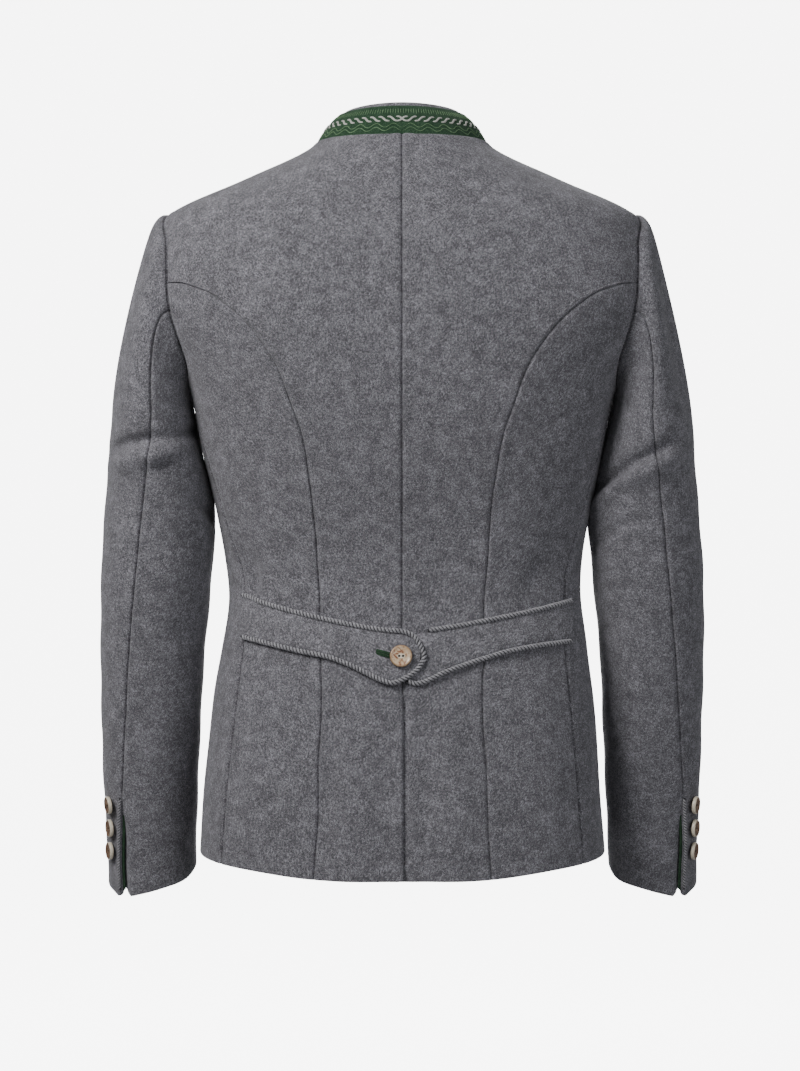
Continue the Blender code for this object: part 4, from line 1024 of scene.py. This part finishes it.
collarHeight = 0.030
edgeShares = nearEdge / collarHeight
collarRows = np.concatenate([edgeShares - 0.060,
                             np.linspace(0.0065 / collarHeight, 1 - 0.0058 / collarHeight, 9),
                             1 - edgeShares[::-1]])
collarLayer("collarOuter", "collar_outer", collarRows, 0.0, 0.0016, 0.0, greenFelt)
collarLayer("collarInner", "collar_inner", collarRows, 0.0022, 0.0016, collar["edgeRise"] / collar["rise"],
            loden)
measureTurns = np.linspace(0.0, collarEnd, 900)
middleLine = collarPoint(measureTurns, np.full(900, 0.45), 0.0)
arcReach = np.concatenate([[0.0], np.cumsum(np.linalg.norm(np.diff(middleLine, axis=0), axis=1))])
collarLength = float(arcReach[-1])


def onCollar(reach, share, lift):
    # reach runs along the collar from the centre back, to the wearer's left
    reach = np.asarray(reach, float)
    angle = np.interp(np.abs(reach), arcReach, measureTurns) * np.sign(reach)
    return collarPoint(angle, np.broadcast_to(share, reach.shape) * 1.0, -lift)


def stitchTube(lines, name, halfWidth, halfHeight, material, sides=6):
    # many short threads laid on the collar, each a rounded bead along its own line
    vertices, faces = [], []
    for reach, share in lines:
        count = len(reach)
        centre = onCollar(reach, share, 0.0)
        above = onCollar(reach, share, 0.001)
        outward = unitOf(above - centre)
        ahead = unitOf(np.gradient(centre, axis=0))
        across = unitOf(np.cross(ahead, outward))
        spots = np.linspace(-1, 1, count)
        swell = np.sqrt(np.clip(1 - np.abs(spots) ** 6, 0, 1)) * 0.94 + 0.06
        start = len(vertices)
        for row in range(count):
            for k in range(sides):
                turn = 2 * math.pi * k / sides
                offset = math.cos(turn) * halfWidth * swell[row] * across[row]
                offset = offset + (math.sin(turn) * halfHeight * swell[row] + 0.00012) * outward[row]
                vertices.append(centre[row] + offset)
        for row in range(count - 1):
            for k in range(sides):
                a, b = start + row * sides + k, start + row * sides + (k + 1) % sides
                faces.append((a, b, b + sides, a + sides))
        faces.append(tuple(range(start, start + sides)))
        faces.append(tuple(range(start + (count - 1) * sides, start + count * sides)))
    piece = solidFrom(name, vertices, faces, material, 80)
    return piece


embroidery = {
    "tick": {"pitch": 0.0027, "low": 0.655, "high": 0.865},
    "rope": {"pitch": 0.00875, "middle": 0.455, "half": 0.086, "reach": 0.0060},
    "wave": {"pitch": 0.0158, "upper": 0.232, "lower": 0.112, "half": 0.062},
}


def embroider():
    tick, rope, wave = embroidery["tick"], embroidery["rope"], embroidery["wave"]
    stop = collarLength - 0.016
    ticks, ropes, waves = [], [], []
    for sign in (1.0, -1.0):
        for k in range(int(stop / tick["pitch"])):
            place = (k + 0.5) * tick["pitch"]
            wobble = 0.010 * math.sin(k * 2.3)
            share = np.linspace(tick["low"] + wobble, tick["high"] + wobble, 5)
            ticks.append((np.full(5, sign * place) + sign * np.linspace(-0.0002, 0.0002, 5), share))
        for k in range(int((stop - 0.004) / rope["pitch"])):
            place = k * rope["pitch"]
            t = np.linspace(-1, 1, 13)
            ropes.append((sign * (place + rope["reach"] * t),
                          rope["middle"] + rope["half"] * np.sin(math.pi / 2 * np.clip(t * 1.6, -1, 1))
                          - 0.016 * np.sin(math.pi * t) * np.abs(t)))
        for level in (wave["upper"], wave["lower"]):
            reach = np.linspace(0.0, stop, int(stop / 0.0010))
            swing = np.cos(2 * math.pi * reach / wave["pitch"])
            waves.append((sign * reach, level - wave["half"] * swing * (1.12 - 0.12 * swing**2)))
    stitchTube(ticks, "collarTicks", 0.00034, 0.00026, paleGreenThread)
    stitchTube(ropes, "collarRope", 0.00105, 0.00065, silverThread, 8)
    stitchTube(waves, "collarWaves", 0.00038, 0.00032, paleGreenThread)


embroider()
print("collar embroidered")

# Belt at the back waist

# distance from the centre, top, bottom
beltLeft = (
    (0.1535, -0.4369, -0.4822), (0.1250, -0.4460, -0.4885), (0.0955, -0.4538, -0.4950),
    (0.0700, -0.4597, -0.5000), (0.0466, -0.4645, -0.5090), (0.0342, -0.4668, -0.5153),
    (0.0200, -0.4690, -0.5220), (0.0105, -0.4700, -0.5248), (-0.0019, -0.4712, -0.5210),
    (-0.0110, -0.4750, -0.5155), (-0.0175, -0.4825, -0.5095), (-0.0215, -0.4905, -0.5030),
)
beltRight = (
    (0.1580, -0.4423, -0.4864), (0.1300, -0.4497, -0.4895), (0.0991, -0.4565, -0.4950),
    (0.0752, -0.4612, -0.5022), (0.0504, -0.4659, -0.5105), (0.0380, -0.4676, -0.5153),
    (0.0270, -0.4692, -0.5208), (0.0170, -0.4706, -0.5243), (0.0100, -0.4720, -0.5245),
    (0.0040, -0.4740, -0.5215), (-0.0060, -0.4770, -0.5150), (-0.0130, -0.4820, -0.5090),
)
belt = {"cord": 0.0026, "pitch": 0.0070, "laid": 0.0008}


def beltLift(across):
    climb = np.clip((0.034 - across) / 0.022, 0, 1)
    return belt["laid"] + 0.0029 * climb * climb * (3 - 2 * climb)


def beltOutline(table, count, inset):
    rows = np.array(table)
    parts = np.linspace(0, 1, count)
    line = np.concatenate([along(rows[:, [0, 1]], parts), along(rows[:, [0, 2]], parts)[::-1]])
    forward = np.gradient(line, axis=0)
    inward = unitOf(np.stack([-forward[:, 1], forward[:, 0]], axis=-1))
    return line + inward * inset, count


def onBack(across, height, side, lift):
    return torsoAt(side * behindAngle(across, height), height, lift)


def beltPiece(name, node, table, side):
    line, count = beltOutline(table, 120, 2 * belt["cord"] - 0.0008)
    shares = np.concatenate([nearEdge / 0.04, np.linspace(0.0068 / 0.04, 1 - 0.0068 / 0.04, 13),
                             1 - nearEdge[::-1] / 0.04])
    rows = shares[:, None, None]
    grid = line[:count][None] * (1 - rows) + line[count:][::-1][None] * rows
    across, height = grid[..., 0], grid[..., 1]
    base = beltLift(across) if side > 0 else np.full(across.shape, belt["laid"])
    fromTop = rows[..., 0] * 0.040
    near = np.minimum(fromTop, 0.040 - fromTop) + across * 0
    plump = 0.0007 * easedStep(0, 0.010, near) - 0.0007 * np.exp(-((near / 0.0010) ** 2))
    plump = plump + 0.0004 * np.sin(across * 95 + side) * np.sin(height * 150)
    outer = onBack(across, height, side, base + shape["beltWall"] + plump)
    inner = onBack(across, height, side, base - 0.0004 * np.exp(-((near / 0.001) ** 2)) * 0)
    piece = clothFrom(name, outer, inner, beltLoden)
    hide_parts(node)


def beltCord(name, node, line, side, hand):
    base = beltLift(line[:, 0]) if side > 0 else np.full(len(line), belt["laid"])
    path = onBack(line[:, 0], line[:, 1], side, base + belt["cord"] * 0.92)
    twoPly(name, node, path, belt["cord"], belt["pitch"], cordWool, hand)


beltPiece("beltLeft", "belt_left", beltLeft, 1)
beltPiece("beltRight", "belt_right", beltRight, -1)
edgeLine, edgeCount = beltOutline(beltLeft, 90, belt["cord"])
beltCord("beltLeftCord", "belt_left_cord", edgeLine, 1, 1.0)
edgeLine, edgeCount = beltOutline(beltRight, 90, belt["cord"])
upperEdge, lowerEdge = edgeLine[:edgeCount], edgeLine[edgeCount:]
beltCord("beltRightCordTop", "belt_right_cord_top", upperEdge[upperEdge[:, 0] > 0.0235], -1, 1.0)
beltCord("beltRightCordBottom", "belt_right_cord_bottom", lowerEdge[lowerEdge[:, 0] > 0.0035], -1, 1.0)


def beltButtonhole():
    # a bound slit: two raised green welts with a groove between them
    spin = np.linspace(-1, 1, 41)
    rows = np.linspace(-1, 1, 17)
    half, tall, tilt = 0.0084, 0.0029, 0.30
    u, v = np.meshgrid(spin, rows)
    narrow = (1 - np.abs(u) ** 4.0) ** 0.25 * 0.96 + 0.04
    across = 0.0165 + u * half
    height = -0.4948 + u * half * tilt + v * tall * narrow
    relief = 0.0008 * np.sqrt(np.clip(1 - v**2, 0, 1)) - 0.00075 * np.exp(-((v / 0.13) ** 2)) * (1 - u**6)
    relief = relief - 0.00020 * np.cos(v * math.pi * 3) + 0.00008 * np.cos(u * 60)
    base = beltLift(across) + shape["beltWall"] + 0.0007
    outer = onBack(across, height, 1, base + 0.0006 + relief)
    inner = onBack(across, height, 1, base - 0.0006)
    piece = clothFrom("beltButtonhole", outer, inner, greenFelt)
    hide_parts("belt_buttonhole")


beltButtonhole()
print("belt buttoned")

# Horn buttons

# distance from the middle and level, as shares of the radius and the thickness
flatRings = ((0.84, 0.0), (0.97, 0.16), (1.0, 0.42), (0.985, 0.72), (0.93, 0.93), (0.86, 1.0), (0.78, 0.97),
             (0.72, 0.86), (0.66, 0.78), (0.50, 0.74), (0.25, 0.72))
thickRings = ((0.86, 0.0), (0.96, 0.10), (1.0, 0.28), (1.0, 0.72), (0.965, 0.92), (0.92, 1.0), (0.86, 0.985),
              (0.78, 0.88), (0.66, 0.80), (0.45, 0.77), (0.22, 0.76))
buttonKinds = {
    "large": {"radius": 0.01075, "thick": 0.0036, "rings": flatRings, "holes": 0.17, "hole": 0.085},
    "small": {"radius": 0.0086, "thick": 0.0042, "rings": thickRings, "holes": 0.17, "hole": 0.090},
}


# the dark colour is painted shade inside the two button holes
buttonFace = {"ovalWide": 5.6, "ovalTall": 9.5, "holesApart": 0.088, "dark": (0.012, 0.008, 0.006)}


def hornMaterial(name, look):
    material = bpy.data.materials.new(name)
    material.use_nodes = True
    tree = material.node_tree
    shader = tree.nodes["Principled BSDF"]
    shader.inputs["Roughness"].default_value = 0.34
    shader.inputs["Coat Weight"].default_value = 0.25
    shader.inputs["Coat Roughness"].default_value = 0.22
    coordinates = tree.nodes.new("ShaderNodeTexCoord")
    centred = tree.nodes.new("ShaderNodeVectorMath")
    centred.operation = "SUBTRACT"
    centred.inputs[1].default_value = (0.5, 0.5, 0.0)
    tree.links.new(coordinates.outputs["UV"], centred.inputs[0])
    length = tree.nodes.new("ShaderNodeVectorMath")
    length.operation = "LENGTH"
    tree.links.new(centred.outputs[0], length.inputs[0])
    wobble = noiseNode(tree, coordinates.outputs["Object"], 300.0, 3.0, 0.55, 1.2)
    wobble = mathNode(tree, "MULTIPLY_ADD", wobble, 0.16, -0.08)
    reach = mathNode(tree, "MULTIPLY_ADD", length.outputs["Value"], 2.0, wobble)
    cloud = noiseNode(tree, coordinates.outputs["Object"], look["grain"], 4.0, 0.62, 1.6)
    middle = tree.nodes.new("ShaderNodeValToRGB")
    rim = tree.nodes.new("ShaderNodeValToRGB")
    for ramp, stops in ((middle, look["middle"]), (rim, look["rim"])):
        ramp.color_ramp.elements[0].position = stops[0][0]
        ramp.color_ramp.elements[0].color = (*stops[0][1], 1)
        ramp.color_ramp.elements[1].position = stops[-1][0]
        ramp.color_ramp.elements[1].color = (*stops[-1][1], 1)
        for spot, colour in stops[1:-1]:
            ramp.color_ramp.elements.new(spot).color = (*colour, 1)
    tree.links.new(cloud, middle.inputs["Fac"])
    tree.links.new(reach, rim.inputs["Fac"])
    mask = rangeNode(tree, reach, look["rimFrom"] - 0.05, look["rimFrom"] + 0.05, curve="SMOOTHSTEP")
    last = mixNode(tree, mask, middle.outputs["Color"], rim.outputs["Color"])
    across = tree.nodes.new("ShaderNodeSeparateXYZ")
    tree.links.new(centred.outputs[0], across.inputs[0])
    sideways = mathNode(tree, "ABSOLUTE", across.outputs["X"])
    upwards = across.outputs["Y"]
    wide = mathNode(tree, "MULTIPLY", sideways, buttonFace["ovalWide"])
    tall = mathNode(tree, "MULTIPLY", upwards, buttonFace["ovalTall"])
    oval = mathNode(tree, "MULTIPLY_ADD", wide, wide, mathNode(tree, "MULTIPLY", tall, tall))
    apart = mathNode(tree, "SUBTRACT", sideways, buttonFace["holesApart"])
    hole = mathNode(tree, "SQRT", mathNode(tree, "MULTIPLY_ADD", apart, apart,
                                           mathNode(tree, "MULTIPLY", upwards, upwards)))
    # a cream oval round the holes, then painted shade over the holes themselves
    for value, start, stop, colour, share in ((oval, 0.80, 1.15, look["oval"], look["ovalShare"]),
                                              (hole, 0.050, 0.062, buttonFace["dark"], 1.0)):
        last = mixNode(tree, rangeNode(tree, value, start, stop, share, 0.0), last, (*colour, 1))
    tree.links.new(last, shader.inputs["Base Color"])
    return material


tanHorn = hornMaterial("tanHorn", {
    "grain": 170.0, "rimFrom": 0.84, "oval": (0.760, 0.690, 0.560), "ovalShare": 1.0,
    "middle": [(0.36, (0.200, 0.070, 0.040)), (0.44, (0.360, 0.190, 0.110)), (0.50, (0.560, 0.400, 0.250)),
               (0.66, (0.680, 0.560, 0.410))],
    "rim": [(0.80, (0.480, 0.340, 0.210)), (0.93, (0.400, 0.260, 0.150)), (0.985, (0.110, 0.055, 0.030))]})
creamHorn = hornMaterial("creamHorn", {
    "grain": 260.0, "rimFrom": 0.93, "oval": (0.30, 0.20, 0.13), "ovalShare": 0.0,
    "middle": [(0.38, (0.060, 0.030, 0.018)), (0.50, (0.170, 0.090, 0.050)), (0.62, (0.330, 0.220, 0.140))],
    "rim": [(0.90, (0.560, 0.480, 0.370)), (1.0, (0.660, 0.600, 0.480))]})


def makeButton(name, node, kind, centre, facing, material):
    look = buttonKinds[kind]
    rings, radius, thick = look["rings"], look["radius"], look["thick"]
    bpy.ops.object.select_all(action="DESELECT")
    bpy.ops.mesh.primitive_circle_add(vertices=56, radius=radius * rings[0][0], fill_type="NGON")
    piece = bpy.context.active_object
    piece.name = name
    bpy.ops.object.mode_set(mode="EDIT")
    bpy.ops.mesh.select_all(action="SELECT")
    for (reach, level), (nextReach, nextLevel) in zip(rings, rings[1:]):
        rise = (nextLevel - level) * thick
        bpy.ops.mesh.extrude_region_move(TRANSFORM_OT_translate={"value": (0, 0, rise)})
        grow = nextReach / reach
        bpy.ops.transform.resize(value=(grow, grow, 1), center_override=(0, 0, 0))
    bpy.ops.mesh.select_all(action="SELECT")
    bpy.ops.mesh.normals_make_consistent(inside=False)
    bpy.ops.object.mode_set(mode="OBJECT")
    for offset in (-look["holes"], look["holes"]):
        bpy.ops.object.select_all(action="DESELECT")
        bpy.ops.mesh.primitive_cylinder_add(vertices=18, radius=radius * look["hole"], depth=thick * 3,
                                            location=(radius * offset, 0, 0))
        cutter = bpy.context.active_object
        hole = piece.modifiers.new("hole", "BOOLEAN")
        hole.operation, hole.solver, hole.object = "DIFFERENCE", "EXACT", cutter
        bpy.ops.object.select_all(action="DESELECT")
        piece.select_set(True)
        bpy.context.view_layer.objects.active = piece
        bpy.ops.object.modifier_apply(modifier=hole.name)
        bpy.data.objects.remove(cutter)
    mesh = piece.data
    mapped = mesh.uv_layers.active or mesh.uv_layers.new(name="face")
    for loop in mesh.loops:
        spot = mesh.vertices[loop.vertex_index].co
        mapped.data[loop.index].uv = (0.5 + spot.x / radius / 2, 0.5 + spot.y / radius / 2)
    turn = Vector(facing).to_track_quat("Z", "Y").to_matrix().to_4x4()
    mesh.transform(Matrix.Translation(Vector(centre)) @ turn)
    mesh.shade_smooth()
    mesh.set_sharp_from_angle(angle=math.radians(45))
    mesh.materials.clear()
    mesh.materials.append(material)
    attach(piece, "root")
    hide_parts(node)
    return piece


spot = behindAngle(np.array([0.0007]), np.array([-0.4973])), np.array([-0.4973])
lift = float(beltLift(0.0007)) + shape["beltWall"] + 0.0016
makeButton("beltButton", "belt_button", "large", torsoAt(*spot, lift)[0], torsoNormal(*spot)[0], tanHorn)
for number, height in enumerate((-0.100, -0.190, -0.280, -0.370, -0.460), 1):
    spot = np.array([180.0]), np.array([height])
    makeButton("frontButton%d" % number, "front_button_%d" % number, "large", torsoAt(*spot, 0.0012)[0],
               torsoNormal(*spot)[0], tanHorn)
for word, side in (("left", 1), ("right", -1)):
    for number, share in enumerate((0.812, 0.861, 0.909), 1):
        height = shape["bicep"] + share * (-0.736 - shape["bicep"])
        spot = [sleeveSection(np.array(40.0 + turn), np.array(height + rise), side)
                for turn, rise in ((0, 0), (1, 0), (0, 0.001))]
        facing = unitOf(np.cross(spot[1] - spot[0], spot[2] - spot[0]))
        facing = facing if facing[0] > 0 else -facing
        leaning = unitOf(facing + np.array([0.62, -0.05, 0.02 * (number - 2)]))
        flip = np.array([side, 1.0, 1.0])
        centre = (spot[0] + facing * 0.0020) * flip
        makeButton("cuffButton%s%d" % (word.capitalize(), number), "cuff_button_%s_%d" % (word, number),
                   "small", centre, leaning * flip, creamHorn)
print("buttons made")

# Pale studio floor sweeping up behind the jacket

profile = [(3.6, -2.20)] + [(-4.70 - 0.4 * math.sin(t), -1.80 - 0.4 * math.cos(t))
                            for t in np.linspace(0, math.pi / 2, 12)] + [(-5.10, 1.60)]
vertices = [(x, y, z) for x in (-1.9, 1.9) for y, z in profile]
count = len(profile)
faces = [(k, k + 1, k + 1 + count, k + count) for k in range(count - 1)]
sweepMesh = bpy.data.meshes.new("studioFloor")
sweepMesh.from_pydata(vertices, [], faces)
sweepMesh.shade_smooth()
paper = bpy.data.materials.new("studioPaper")
paper.use_nodes = True
paperTree = paper.node_tree
paperShader = paperTree.nodes["Principled BSDF"]
paperShader.inputs["Base Color"].default_value = (0.60, 0.605, 0.61, 1)
paperShader.inputs["Roughness"].default_value = 0.95
paperShader.inputs["Emission Strength"].default_value = 6.8
apart = paperTree.nodes.new("ShaderNodeSeparateXYZ")
paperTree.links.new(paperTree.nodes.new("ShaderNodeTexCoord").outputs["Object"], apart.inputs[0])
glow = paperTree.nodes.new("ShaderNodeMapRange")
glow.inputs["From Min"].default_value = -4.60
glow.inputs["From Max"].default_value = -4.85
paperTree.links.new(apart.outputs["Y"], glow.inputs["Value"])
paperTree.links.new(glow.outputs["Result"], paperShader.inputs["Emission Color"])
sweepMesh.materials.append(paper)
sweep = bpy.data.objects.new("studioFloor", sweepMesh)
bpy.context.scene.collection.objects.link(sweep)
sweep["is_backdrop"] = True

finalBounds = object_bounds()
for name, low, high in (("cad", *cadBounds), ("final", *finalBounds)):
    print(name, [round(float(v), 4) for v in low], [round(float(v), 4) for v in high])
